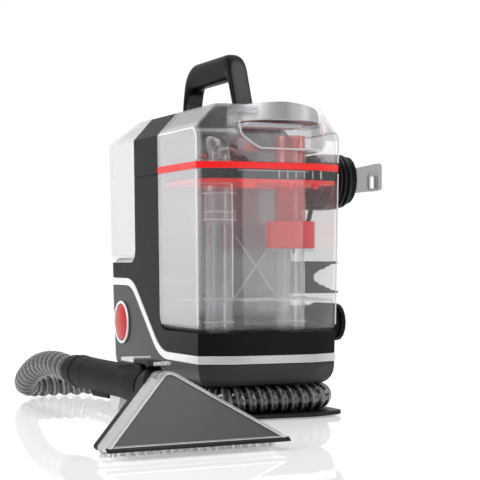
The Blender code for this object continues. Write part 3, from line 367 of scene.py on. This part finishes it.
def from_bmesh(name, shape, slot, body, *nodes, angle=40.0, look=None):
    """Turn a finished bmesh into a smooth-shaded piece, sharp where faces meet at more than the angle."""
    bmesh.ops.recalc_face_normals(shape, faces=shape.faces)
    mesh = bpy.data.meshes.new(name)
    shape.to_mesh(mesh)
    shape.free()
    mesh.shade_smooth()
    mesh.set_sharp_from_angle(angle=math.radians(angle))
    return made(name, mesh, slot, body, *nodes, look=look)


def smooth_route(points, spacing):
    """Points at an even spacing along a smooth curve through a route's own points."""
    route = [Vector(point) for point in points]
    padded = [route[0] * 2 - route[1]] + route + [route[-1] * 2 - route[-2]]
    fine = []
    for i in range(1, len(padded) - 2):
        p0, p1, p2, p3 = padded[i - 1:i + 3]
        for step in range(24):
            t = step / 24
            fine.append(0.5 * ((2 * p1) + (p2 - p0) * t + (2 * p0 - 5 * p1 + 4 * p2 - p3) * t * t
                               + (3 * p1 - p0 - 3 * p2 + p3) * t * t * t))
    fine.append(route[-1])
    lengths = [0.0]
    for before, after in zip(fine, fine[1:]):
        lengths.append(lengths[-1] + (after - before).length)
    count = max(2, round(lengths[-1] / spacing))
    even = []
    spot = 0
    for i in range(count + 1):
        target = lengths[-1] * i / count
        while spot < len(lengths) - 2 and lengths[spot + 1] < target:
            spot += 1
        share = (target - lengths[spot]) / max(lengths[spot + 1] - lengths[spot], 1e-9)
        even.append(fine[spot].lerp(fine[spot + 1], share))
    return even


def tube_mesh(shape, points, radius_at, sides):
    """Add a closed tube along points to a bmesh; radius_at takes the distance and the angle share."""
    rings = []
    normal = None
    distance = 0.0
    for i, point in enumerate(points):
        ahead = (points[min(i + 1, len(points) - 1)] - points[max(i - 1, 0)]).normalized()
        if normal is None:
            normal = ahead.orthogonal().normalized()
        normal = (normal - ahead * normal.dot(ahead)).normalized()
        side = ahead.cross(normal)
        if i:
            distance += (point - points[i - 1]).length
        ring = []
        for j in range(sides):
            angle = 2 * math.pi * j / sides
            radius = radius_at(distance, j / sides)
            offset = normal * (math.cos(angle) * radius) + side * (math.sin(angle) * radius)
            ring.append(shape.verts.new((point + offset) * MM))
        rings.append(ring)
    for first, second in zip(rings, rings[1:]):
        for j in range(sides):
            k = (j + 1) % sides
            shape.faces.new((first[j], first[k], second[k], second[j]))
    shape.faces.new(list(reversed(rings[0])))
    shape.faces.new(rings[-1])


def rod(shape, points, radius, sides):
    """Add a closed tube of one radius along points to a bmesh."""
    tube_mesh(shape, points, lambda distance, share: radius, sides)


def block(shape, x, y, z, radius, segments=3, turn=None):
    """Add a box with rounded edges, in millimetres, to a bmesh."""
    spans = [(high - low) * MM for low, high in (x, y, z)]
    middle = Vector([(low + high) / 2 * MM for low, high in (x, y, z)])
    made_verts = bmesh.ops.create_cube(shape, size=1.0)["verts"]
    bmesh.ops.scale(shape, vec=spans, verts=made_verts)
    bmesh.ops.translate(shape, vec=middle, verts=made_verts)
    edges = list({edge for vert in made_verts for edge in vert.link_edges})
    rounded_off = bmesh.ops.bevel(shape, geom=edges, offset=radius * MM, segments=segments, profile=0.5,
                                  affect="EDGES")
    if turn:
        verts = list({vert for face in rounded_off["faces"] for vert in face.verts})
        bmesh.ops.transform(shape, matrix=turn, verts=verts)


def lathe(shape, profile, place, steps=40):
    """Turn a profile of (radius, height), in millimetres, about the Z axis of a placement."""
    rings = []
    for radius, height in profile:
        if radius < 1e-6:
            rings.append([shape.verts.new(place @ Vector((0, 0, height * MM)))])
            continue
        ring = []
        for i in range(steps):
            angle = 2 * math.pi * i / steps
            point = Vector((math.cos(angle) * radius * MM, math.sin(angle) * radius * MM, height * MM))
            ring.append(shape.verts.new(place @ point))
        rings.append(ring)
    closed = profile[0][0] > 1e-6 and profile[-1][0] > 1e-6
    pairs = list(zip(rings, rings[1:])) + ([(rings[-1], rings[0])] if closed else [])
    for first, second in pairs:
        for i in range(steps):
            k = (i + 1) % steps
            corners = (first[i % len(first)], first[k % len(first)],
                       second[k % len(second)], second[i % len(second)])
            shape.faces.new(list(dict.fromkeys(corners)))


def at(x, y, z):
    """A placement at a point, in millimetres."""
    return Matrix.Translation(Vector((x, y, z)) * MM)


def route_length(points):
    """How long a polyline is."""
    return sum((after - before).length for before, after in zip(points, points[1:]))


def rounded(corners):
    """An outline whose corners (across, up, radius, steps) are replaced by arcs."""
    points = []
    for i, (across, up, radius, steps) in enumerate(corners):
        here = Vector((across, up))
        if not radius:
            points.append((across, up))
            continue
        before = (Vector(corners[i - 1][:2]) - here).normalized()
        after = (Vector(corners[(i + 1) % len(corners)][:2]) - here).normalized()
        half = before.angle(after) / 2
        centre = here + (before + after).normalized() * (radius / math.sin(half))
        first = here + before * (radius / math.tan(half)) - centre
        last = here + after * (radius / math.tan(half)) - centre
        turn = math.atan2(first.x * last.y - first.y * last.x, first.dot(last))
        for step in range(steps + 1):
            point = centre + Matrix.Rotation(turn * step / steps, 2) @ first
            points.append((point.x, point.y))
    return points


# ---------------------------------------------------------------- hose and power cord

HOSE_RADIUS = 15.7
HOSE_SIDES = 30
HOSE_SPACING = 0.65
RIB_DEPTH = 3.0
FREE_LOOP = 975.0           # how far along the hose its raised loop starts
RIB_PITCHES = ((0.0, 13.0), (805.0, 16.5), (FREE_LOOP, 20.0))     # from that distance on
LOOSE_START, LOOSE_BLEND = 800.0, 60.0
HOSE_ROUTE = [
    (12.6, 150, 22.5), (26, 150, 22.5), (46, 147.5, 22.5), (68, 138, 22.5), (83, 118, 22.5),
    (88, 86, 22.5), (88, 20, 22.5), (88, -50, 22.5), (87, -98, 22.5), (77, -134, 22.5),
    (52, -152, 22.5), (4, -156, 22.5), (-44, -150.5, 22.5), (-66, -133, 22.5),
    (-75, -100, 22.5), (-76, -50, 22.5), (-76, 20, 22.5), (-76, 90, 22.5), (-77, 140, 22.5),
    (-80, 178, 22.5), (-91, 209, 19), (-113, 226, 16.4), (-142, 231, 16.1), (-171, 224, 16.1),
    (-194, 204, 19.5), (-205, 172, 28), (-210, 132, 40), (-213, 85, 52), (-214, 35, 59),
    (-215, -16, 60.5), (-215, -50, 58), (-215, -77.7, 58),
]


def hose_turn(distance, share):
    """How far through one turn of the spiral rib a point of the hose wall is, from 0 to 1."""
    turns = 0.0
    ends = [start for start, pitch in RIB_PITCHES[1:]] + [math.inf]
    for (start, pitch), end in zip(RIB_PITCHES, ends):
        turns += max(min(distance, end) - start, 0.0) / pitch
    return (turns - share) % 1.0


def hose_crest(distance, share):
    """How far up the rib that point is, from 0 in the groove to 1 on the crest."""
    return (0.5 - 0.5 * math.cos(2 * math.pi * hose_turn(distance, share))) ** 0.55


def hose_ridge_highlight(distance, share):
    """How near that point is to a fine moulding line, a ridge that also carries a painted highlight: two on
    each rib, one where it is stretched most.
    """
    lines = 2 if distance < FREE_LOOP else 1
    return 0.5 + 0.5 * math.sin(2 * math.pi * lines * hose_turn(distance, share))


def hose_loose(distance, share):
    """Nothing where the hose is wrapped round the base, 1 in the loop beside the machine."""
    return min(max((distance - LOOSE_START) / LOOSE_BLEND, 0.0), 1.0)


def build_hose():
    """The ribbed hose as one tube, whose wall carries its rib, its moulding line with its painted
    highlight, and its looseness for the material.
    """
    points = smooth_route(HOSE_ROUTE, HOSE_SPACING)
    length = route_length(points)
    shape = bmesh.new()
    tube_mesh(shape, points, lambda d, a: HOSE_RADIUS - RIB_DEPTH * (1 - hose_crest(d, a)), HOSE_SIDES)
    hose = from_bmesh("ribbed_hose", shape, "hose_grey", BODY_OF["hose"], "hose", angle=75.0)
    step = length / (len(points) - 1)
    for name, rule in (("crest", hose_crest), ("ridge_highlight", hose_ridge_highlight), ("loose", hose_loose)):
        layer = hose.data.attributes.new(name, "FLOAT", "POINT")
        layer.data.foreach_set("value", [rule(i // HOSE_SIDES * step, i % HOSE_SIDES / HOSE_SIDES)
                                         for i in range(len(points) * HOSE_SIDES)])


CORD_RADIUS = 3.1
SPOOL_Y = -15.0
SPOOL_Z = 289.0
TURN_PITCH = 6.5
LAYER_PITCH = 5.3
CORD_LAYERS = ((0, 1, 2, 3, 4), (4, 3, 2, 1, 0), (0, 1, 2, 3, 4), (4, 3, 0, 1, 2))   # in winding order
COLUMN_X = 123.4            # the first column of turns
TURN_STEPS = 44
LAST_TURN = 0.587           # how much of the last turn is wound
CROSSING, CROSSING_SHARE = 0.8, 0.2     # where in a turn the cord moves over to the next column
START_ON_SPOOL = 0.745
SPOOL_REACH, DRUM_RADIUS = 25.0, 13.0
CORD_LEAD = ((120.8, 4, 236), (126, 3.6, 236.6), (126.5, -5, 240), (124, -17, 252), (123.4, -30, 265))
CORD_TAIL = ((138, 45.5, 283), (138, 48, 272), (138, 50.6, 262), (138, 51.5, 252))


def spool_point(share, reach, radius):
    """A point of one turn round the spool's racetrack: two straight runs and two half circles."""
    straight = 2 * reach
    bend = math.pi * radius
    run = (share % 1.0) * (2 * straight + 2 * bend)
    if run < straight:
        return (-reach + run, radius)
    run -= straight
    if run < bend:
        angle = math.pi / 2 - run / radius
        return (reach + math.cos(angle) * radius, math.sin(angle) * radius)
    run -= bend
    if run < straight:
        return (reach - run, -radius)
    run -= straight
    angle = -math.pi / 2 - run / radius
    return (-reach + math.cos(angle) * radius, math.sin(angle) * radius)


def build_cord():
    """Gland to spool, nearly twenty turns in four nested layers, then down to the plug, as one route."""
    route = smooth_route(CORD_LEAD, 3.0)
    places = []
    for layer, order in enumerate(CORD_LAYERS):
        nested = (layer % 2) * TURN_PITCH / 2
        places += [(COLUMN_X + column * TURN_PITCH + nested, layer) for column in order]
    for i in range(2, int((len(places) - 1 + LAST_TURN) * TURN_STEPS)):
        whole, part = divmod(i / TURN_STEPS, 1.0)
        here = places[int(whole)]
        after = places[min(int(whole) + 1, len(places) - 1)]
        ease = min(max((part - CROSSING) / CROSSING_SHARE, 0.0), 1.0)
        ease = ease * ease * (3 - 2 * ease)
        x = here[0] + (after[0] - here[0]) * ease
        layer = here[1] + (after[1] - here[1]) * ease
        radius = DRUM_RADIUS + CORD_RADIUS + 0.4 + layer * LAYER_PITCH
        along, up = spool_point(START_ON_SPOOL + part, SPOOL_REACH, radius)
        route.append(Vector((x, SPOOL_Y + along, SPOOL_Z + up)))
    route += [Vector(point) for point in CORD_TAIL]
    points = smooth_route(route, 3.4)
    shape = bmesh.new()
    rod(shape, points, CORD_RADIUS, 12)
    cord = from_bmesh("wound_cord", shape, "cord_black", BODY_OF["power_cord_coil"],
                      "power_cord_lead", "power_cord_coil", "power_cord_tail", angle=60.0)


build_hose()
build_cord()


# ---------------------------------------------------------------- handle

def even_points(points, count):
    """Points at an even spacing along a polyline in a plane."""
    lengths = [0.0]
    for before, after in zip(points, points[1:]):
        lengths.append(lengths[-1] + math.dist(before, after))
    even = []
    for i in range(count + 1):
        target = lengths[-1] * i / count
        spot = max(k for k in range(len(points) - 1) if lengths[k] <= target + 1e-9)
        share = (target - lengths[spot]) / max(lengths[spot + 1] - lengths[spot], 1e-9)
        even.append(Vector(points[spot]).lerp(Vector(points[spot + 1]), share))
    return even


def build_handle():
    """A soft-cornered loop between the handle's outer and inner outlines, on its rail."""
    outer = rounded([(-89, 373, 0, 0), (-84, 384, 14, 3), (-60, 446, 26, 10), (84, 446, 34, 10),
                     (96, 392, 16, 3), (97, 373, 0, 0)])
    inner = rounded([(-75, 373, 0, 0), (-55, 413, 9, 8), (72, 413, 17, 8),
                     (82, 392, 12, 3), (83, 373, 0, 0)])
    stations = []
    for outer_part, inner_part, count in ((outer[:11], inner[:6], 16), (outer[10:22], inner[5:15], 30),
                                          (outer[21:], inner[14:], 16)):
        pairs = list(zip(even_points(outer_part, count), even_points(inner_part, count)))
        stations += pairs if not stations else pairs[1:]
    shape = bmesh.new()
    rings = []
    sides = 32
    for far, near in stations:
        centre, half = (far + near) / 2, (far - near) / 2
        ring = []
        for k in range(sides):
            angle = 2 * math.pi * k / sides
            lift = math.copysign(abs(math.cos(angle)) ** 0.72, math.cos(angle))
            width = math.copysign(abs(math.sin(angle)) ** 0.72, math.sin(angle))
            spot = centre + half * lift
            ring.append(shape.verts.new(Vector((13.0 * width, spot.x, spot.y)) * MM))
        rings.append(ring)
    for first, second in zip(rings, rings[1:]):
        for k in range(sides):
            n = (k + 1) % sides
            shape.faces.new((first[k], first[n], second[n], second[k]))
    shape.faces.new(rings[0])
    shape.faces.new(list(reversed(rings[-1])))
    block(shape, (-20, 20), (-96, 106), (355, 377), 2.6, 3)
    for y in (-82, 90):
        block(shape, (-15.5, 15.5), (y - 11, y + 11), (375.5, 378.6), 1.2, 2)
    from_bmesh("grip_handle", shape, "handle_black", BODY_OF["carry_handle"], "carry_handle", angle=50.0)


# ---------------------------------------------------------------- badge

def build_badge():
    """A plain domed disc in a rolled ring; it carries no mark."""
    tilt = Matrix.Rotation(math.radians(-90) - math.atan(0.0156), 4, "Y")
    place = at(-89.774, 114.4, 105.4) @ tilt
    shape = bmesh.new()
    dome = [(24.2 * math.sin(math.radians(a)), 0.6 + 3.2 * math.cos(math.radians(a)))
            for a in range(0, 91, 6)]
    lathe(shape, [(0, dome[0][1])] + dome[1:] + [(24.2, 0.0), (0, 0.0)], place, 56)
    from_bmesh("badge_dome", shape, "badge_red", BODY_OF["badge_plate"], "badge_plate", angle=50.0)
    shape = bmesh.new()
    roll = [(26.5 + 2.0 * math.cos(math.radians(a)), 1.5 + 1.5 * math.sin(math.radians(a)))
            for a in range(0, 360, 20)]
    lathe(shape, roll, place, 56)
    from_bmesh("badge_rolled_ring", shape, "silver_trim", BODY_OF["badge_ring"], "badge_ring", angle=60.0)


# ---------------------------------------------------------------- nozzle

NOZZLE = at(-200.5, -444, 7.3) @ Matrix.Rotation(math.radians(6.7), 4, "Z")
NOZZLE_FACE = NOZZLE @ Matrix.Rotation(math.radians(43.5), 4, "X")
TUFTS = 20
STRANDS = 26


def build_bristles():
    """Twenty splayed tufts under a moulded root bar."""
    rng = random.Random(11)
    corner_angles = [math.radians(k * 72) for k in range(5)]
    shape = bmesh.new()
    block(shape, (-96.5, 96.5), (21.4, 28.6), (-2.0, -0.3), 0.6, 2, NOZZLE)
    for tuft in range(TUFTS):
        middle = -92.0 + tuft * 184.0 / (TUFTS - 1)
        block(shape, (middle - 3.0, middle + 3.0), (22.2, 27.8), (-3.1, -1.8), 0.5, 2, NOZZLE)
        for _ in range(STRANDS):
            x, y = rng.uniform(-2.9, 2.9), rng.uniform(-2.6, 2.6)
            root = Vector((middle + x, 25.0 + y, -2.4))
            tip = Vector((middle + x * 1.45, 25.0 + y * 1.35, -6.9 + rng.uniform(0.0, 0.5)))
            rings = []
            for end, radius in ((root, 0.36), ((root + tip) / 2, 0.33), (tip, 0.24)):
                around = [Vector((math.cos(a) * radius, math.sin(a) * radius, 0)) for a in corner_angles]
                rings.append([shape.verts.new(NOZZLE @ ((end + offset) * MM)) for offset in around])
            for first, second in zip(rings, rings[1:]):
                for k in range(5):
                    shape.faces.new((first[k], first[(k + 1) % 5], second[(k + 1) % 5], second[k]))
            shape.faces.new(rings[0])
            shape.faces.new(rings[-1])
    from_bmesh("bristle_tufts", shape, "bristle", BODY_OF["bristle_strip"], "bristle_strip", angle=50.0)


def build_nozzle_lip():
    """The dark rubbing strip along the nozzle's front edge, with its two end clips, and the thin white
    strips and arch above it that paint the highlights on the window's edges.
    """
    shape = bmesh.new()
    block(shape, (-99.5, 99.5), (0.6, 5.4), (-0.2, 0.5), 0.3, 2, NOZZLE_FACE)
    for side in (-1, 1):
        block(shape, (side * 98.5 - 1.6, side * 98.5 + 1.6), (0.4, 6.2), (-0.2, 0.9), 0.4, 2, NOZZLE_FACE)
    from_bmesh("nozzle_lip", shape, "base_black", BODY_OF["nozzle_panel"])
    shape = bmesh.new()
    # thin white strips and an arch along the window's edges: painted highlights
    block(shape, (-98.0, 98.0), (6.0, 6.8), (-0.1, 0.35), 0.2, 2, NOZZLE_FACE)
    block(shape, (-97.0, 97.0), (7.6, 7.9), (-0.1, 0.2), 0.1, 1, NOZZLE_FACE)
    highlight_path = rounded([(-95.0, 5.2, 0, 0), (0.0, 98.6, 9.0, 8), (95.0, 5.2, 0, 0)])
    rod(shape, [NOZZLE_FACE @ (Vector((x, v, 0.2)) * MM) / MM for x, v in highlight_path], 0.65, 8)
    from_bmesh("nozzle_edge_highlight", shape, "tank_clear", BODY_OF["nozzle_window"], look=HIGHLIGHT_LOOK)


# ---------------------------------------------------------------- tank fittings

# The tank's and the lid's outline: its half width and front at one level, and how they lean with height
DRAFT_LEVEL = 75.0
HALF_WIDTH, SIDE_DRAFT = 89.0, 0.0156
FRONT_Y, FRONT_DRAFT = -170.0, 0.0111
FACET_X, FACET_Y = 38.0, 16.0
LID_LEANS = ((330, 0), (336, 2.5), (342, 8), (374, 13))      # levels, and how far back the lid is there
LEFT_PIPE_X, RIGHT_PIPE_X, PIPES_Y = -40.0, 55.0, -100.0
TANK = BODY_OF["dirty_tank"]


def wall_edge(x, y, z):
    """The point where a corner of the tank's outline is at a level; x and y are at the draft level."""
    rise = z - DRAFT_LEVEL
    return Vector((x + math.copysign(1.0, x) * rise * SIDE_DRAFT, y - rise * FRONT_DRAFT, z))


def lid_front(z):
    """Where the lid's front face is at a level."""
    lean = 0.0
    for (low, start), (high, end) in zip(LID_LEANS, LID_LEANS[1:]):
        if low <= z <= high:
            lean = start + (end - start) * (z - low) / (high - low)
    return FRONT_Y - (z - DRAFT_LEVEL) * FRONT_DRAFT + lean


def build_standpipe_collars():
    """Thin rings round both standpipes."""
    shape = bmesh.new()
    for z in (236.0, 246.0, 268.0):
        lathe(shape, [(20.2, -1.0), (21.6, -0.6), (22.0, 0.0), (21.6, 0.6), (20.2, 1.0)],
              at(LEFT_PIPE_X, PIPES_Y, z), 40)
    for z in (112.0, 141.8):
        for x in (LEFT_PIPE_X, RIGHT_PIPE_X):
            lathe(shape, [(18.2, -1.0), (20.0, -0.6), (20.4, 0.0), (20.0, 0.6), (18.2, 1.0)],
                  at(x, PIPES_Y, z), 40)
    from_bmesh("standpipe_collars", shape, "tank_clear", TANK, look=RIB_LOOK)


def build_rib_highlights():
    """White hazy rods that paint the highlights along the rib round the tank's front at the baffle and
    along two crossed ones behind.
    """
    shape = bmesh.new()
    corners = [(-84.0, -154.5), (-49.0, -166.5), (49.0, -166.5), (84.0, -154.5)]
    edge = [Vector((x, y, 141.3)) for x, y in corners]
    for first, second in zip(edge, edge[1:]):
        rod(shape, smooth_route([first, first.lerp(second, 0.5), second], 12.0), 0.75, 8)
    for x0, x1 in ((8.0, 66.0), (66.0, 8.0)):
        low, high = Vector((x0, -36.8, 141.0)), Vector((x1, -36.8, 218.0))
        rod(shape, smooth_route([low, low.lerp(high, 0.5), high], 12.0), 0.7, 8)
    from_bmesh("tank_rib_highlights", shape, "tank_clear", TANK, look=RIB_LOOK)


def build_corner_highlights():
    """Thin white rods that paint the highlights down the tank's front corners and round the lid's, and one
    on the left facet's edge.
    """
    shape = bmesh.new()
    for side in (-1, 1):
        for levels in ((110.0, 200.0, 292.0), (305.0, 320.0, 332.0)):
            edge = [wall_edge(side * HALF_WIDTH, FRONT_Y + FACET_Y, z) for z in levels]
            if levels[0] > 300:
                edge += [Vector((side * 93.2, -152.0, 339.0)), Vector((side * 93.2, -145.0, 342.0)),
                         Vector((side * 93.2, -90.0, 342.0)), Vector((side * 93.2, -34.0, 342.0))]
            rod(shape, smooth_route(edge, 3.0), 0.9, 8)
    edge = [wall_edge(FACET_X - HALF_WIDTH, FRONT_Y, z) for z in (143.0, 210.0, 276.0)]
    rod(shape, smooth_route(edge, 3.0), 0.4, 8)
    from_bmesh("tank_corner_highlights", shape, "tank_clear", TANK, look=HIGHLIGHT_LOOK)


def build_scoop_bead():
    """The bead round the scoop in the lid's front."""
    shape = bmesh.new()
    outline = rounded([(-41, 351, 0, 0), (-41, 334, 6, 4), (-19, 319, 20, 8),
                       (66, 319, 7, 5), (66, 351, 0, 0)])
    bead = [(x, lid_front(z) + 0.3, z) for x, z in outline]
    rod(shape, smooth_route(bead, 2.5), 1.25, 12)
    from_bmesh("lid_scoop_bead", shape, "tank_clear", TANK, look=RIB_LOOK)


def build_lid_elbow():
    """The inlet's elbow inside the lid, its collar and the two hooked arms beside it."""
    shape = bmesh.new()
    bend = ((-100, 304), (-99, 314), (-92, 323), (-78, 327), (-60, 327), (-40, 327))
    rod(shape, smooth_route([(LEFT_PIPE_X, y, z) for y, z in bend], 2.5), 13.5, 28)
    lathe(shape, [(13.6, -2.0), (17.0, -1.4), (17.4, 0.0), (17.0, 1.4), (13.6, 2.0)],
          at(LEFT_PIPE_X, PIPES_Y, 306), 36)
    for x in (-62.0, -66.0):
        arm = [(x, -150, 306), (x + 2, -151, 314), (x + 10, -150, 319), (x + 22, -147, 318),
               (x + 32, -143, 312)]
        rod(shape, smooth_route(arm, 2.0), 1.6, 10)
    from_bmesh("lid_inlet_elbow", shape, "tank_clear", TANK, look=PIPE_LOOK)


def build_skirt_ribs():
    """Short upright ribs and a ledge on the front of the lid's skirt."""
    shape = bmesh.new()
    for k in range(6):
        x = 8.0 + k * 11.0
        block(shape, (x - 0.9, x + 0.9), (-169.85, -169.0), (284.0, 293.8), 0.3, 2)
    block(shape, (-46.0, 47.0), (-169.7, -169.1), (292.2, 293.4), 0.25, 2)
    from_bmesh("skirt_ribs", shape, "tank_clear", TANK, look=RIB_LOOK)


def build_separator_clips():
    """The red catches that hold the separator plate."""
    shape = bmesh.new()
    for x, wide in ((-30.0, 18.0), (24.0, 6.0), (58.0, 8.0)):
        block(shape, (x - wide / 2, x + wide / 2), (-167.2, -160.0), (275.4, 279.0), 0.9, 2)
        block(shape, (x - wide / 2 + 1, x + wide / 2 - 1), (-166.6, -163.0), (272.6, 276.0), 0.7, 2)
    from_bmesh("separator_clips", shape, "seal_red", TANK)


def build_bracket_rim():
    """The rolled rim round the accessory bracket's window, with four stiffening dimples beside it."""
    shape = bmesh.new()
    corners = [(199.6, 279.6), (213.4, 279.6), (213.4, 300.4), (199.6, 300.4)]
    loop = rounded([(x, z, 3.4, 5) for x, z in corners])
    for y in (-36.4, -27.6):
        ring = [Vector((x, y, z)) for x, z in loop] + [Vector((loop[0][0], y, loop[0][1]))]
        rod(shape, ring, 1.5, 10)
    for x, z in ((170, 284), (180, 286), (170, 298), (180, 301)):
        block(shape, (x - 3.0, x + 3.0), (-36.6, -35.6), (z - 1.4, z + 1.4), 0.45, 2)
    from_bmesh("bracket_rim", shape, "button_grey", BODY_OF["accessory_bracket"])


build_handle()
build_badge()
build_bristles()
build_nozzle_lip()
build_standpipe_collars()
build_rib_highlights()
build_corner_highlights()
build_scoop_bead()
build_lid_elbow()
build_skirt_ribs()
build_separator_clips()
build_bracket_rim()


# ---------------------------------------------------------------- CAD nodes that stay

# How far a node's edges are rounded, in millimetres, and in how many segments; the others get 0.4
EDGE = {"base_plate": (0.8,), "lower_housing": (0.9,), "trim_band": (0.7,), "main_frame": (0.9,),
        "spine_top_cover": (0.8,), "dirty_tank": (1.1, 3), "dirty_tank_lid": (0.9, 3),
        "clean_tank": (1.1, 3)}
NODE_LOOKS = {"main_frame": SPINE_LOOK, "inlet_standpipe": PIPE_LOOK, "suction_standpipe": PIPE_LOOK,
              "shutoff_column": COLUMN_LOOK, "wand_body": WAND_LOOK, "hose_cuff": WAND_LOOK}


def soften(obj, width, segments=2, angle=32.0):
    """Weld a CAD node's triangles, join its flat ones and round its edges, all by modifiers."""
    weld = obj.modifiers.new("weld", "WELD")
    weld.merge_threshold = 0.000002
    flat = obj.modifiers.new("flat", "DECIMATE")
    flat.decimate_type = "DISSOLVE"
    flat.angle_limit = math.radians(0.4)
    if width:
        edge = obj.modifiers.new("edge", "BEVEL")
        edge.width = width * MM
        edge.segments = segments
        edge.limit_method = "ANGLE"
        edge.angle_limit = math.radians(angle)
        edge.use_clamp_overlap = True
    obj.data.shade_smooth()
    even = obj.modifiers.new("even", "WEIGHTED_NORMAL")
    even.keep_sharp = True
    return obj


for sub in frame["record"]["subparts"]:
    node = NODES[sub["node"]]
    node.data.materials.clear()
    node.data.materials.append(NODE_LOOKS.get(sub["node"], LOOKS[sub["material_slot"]]))
    soften(node, *EDGE.get(sub["node"], (0.4,)))
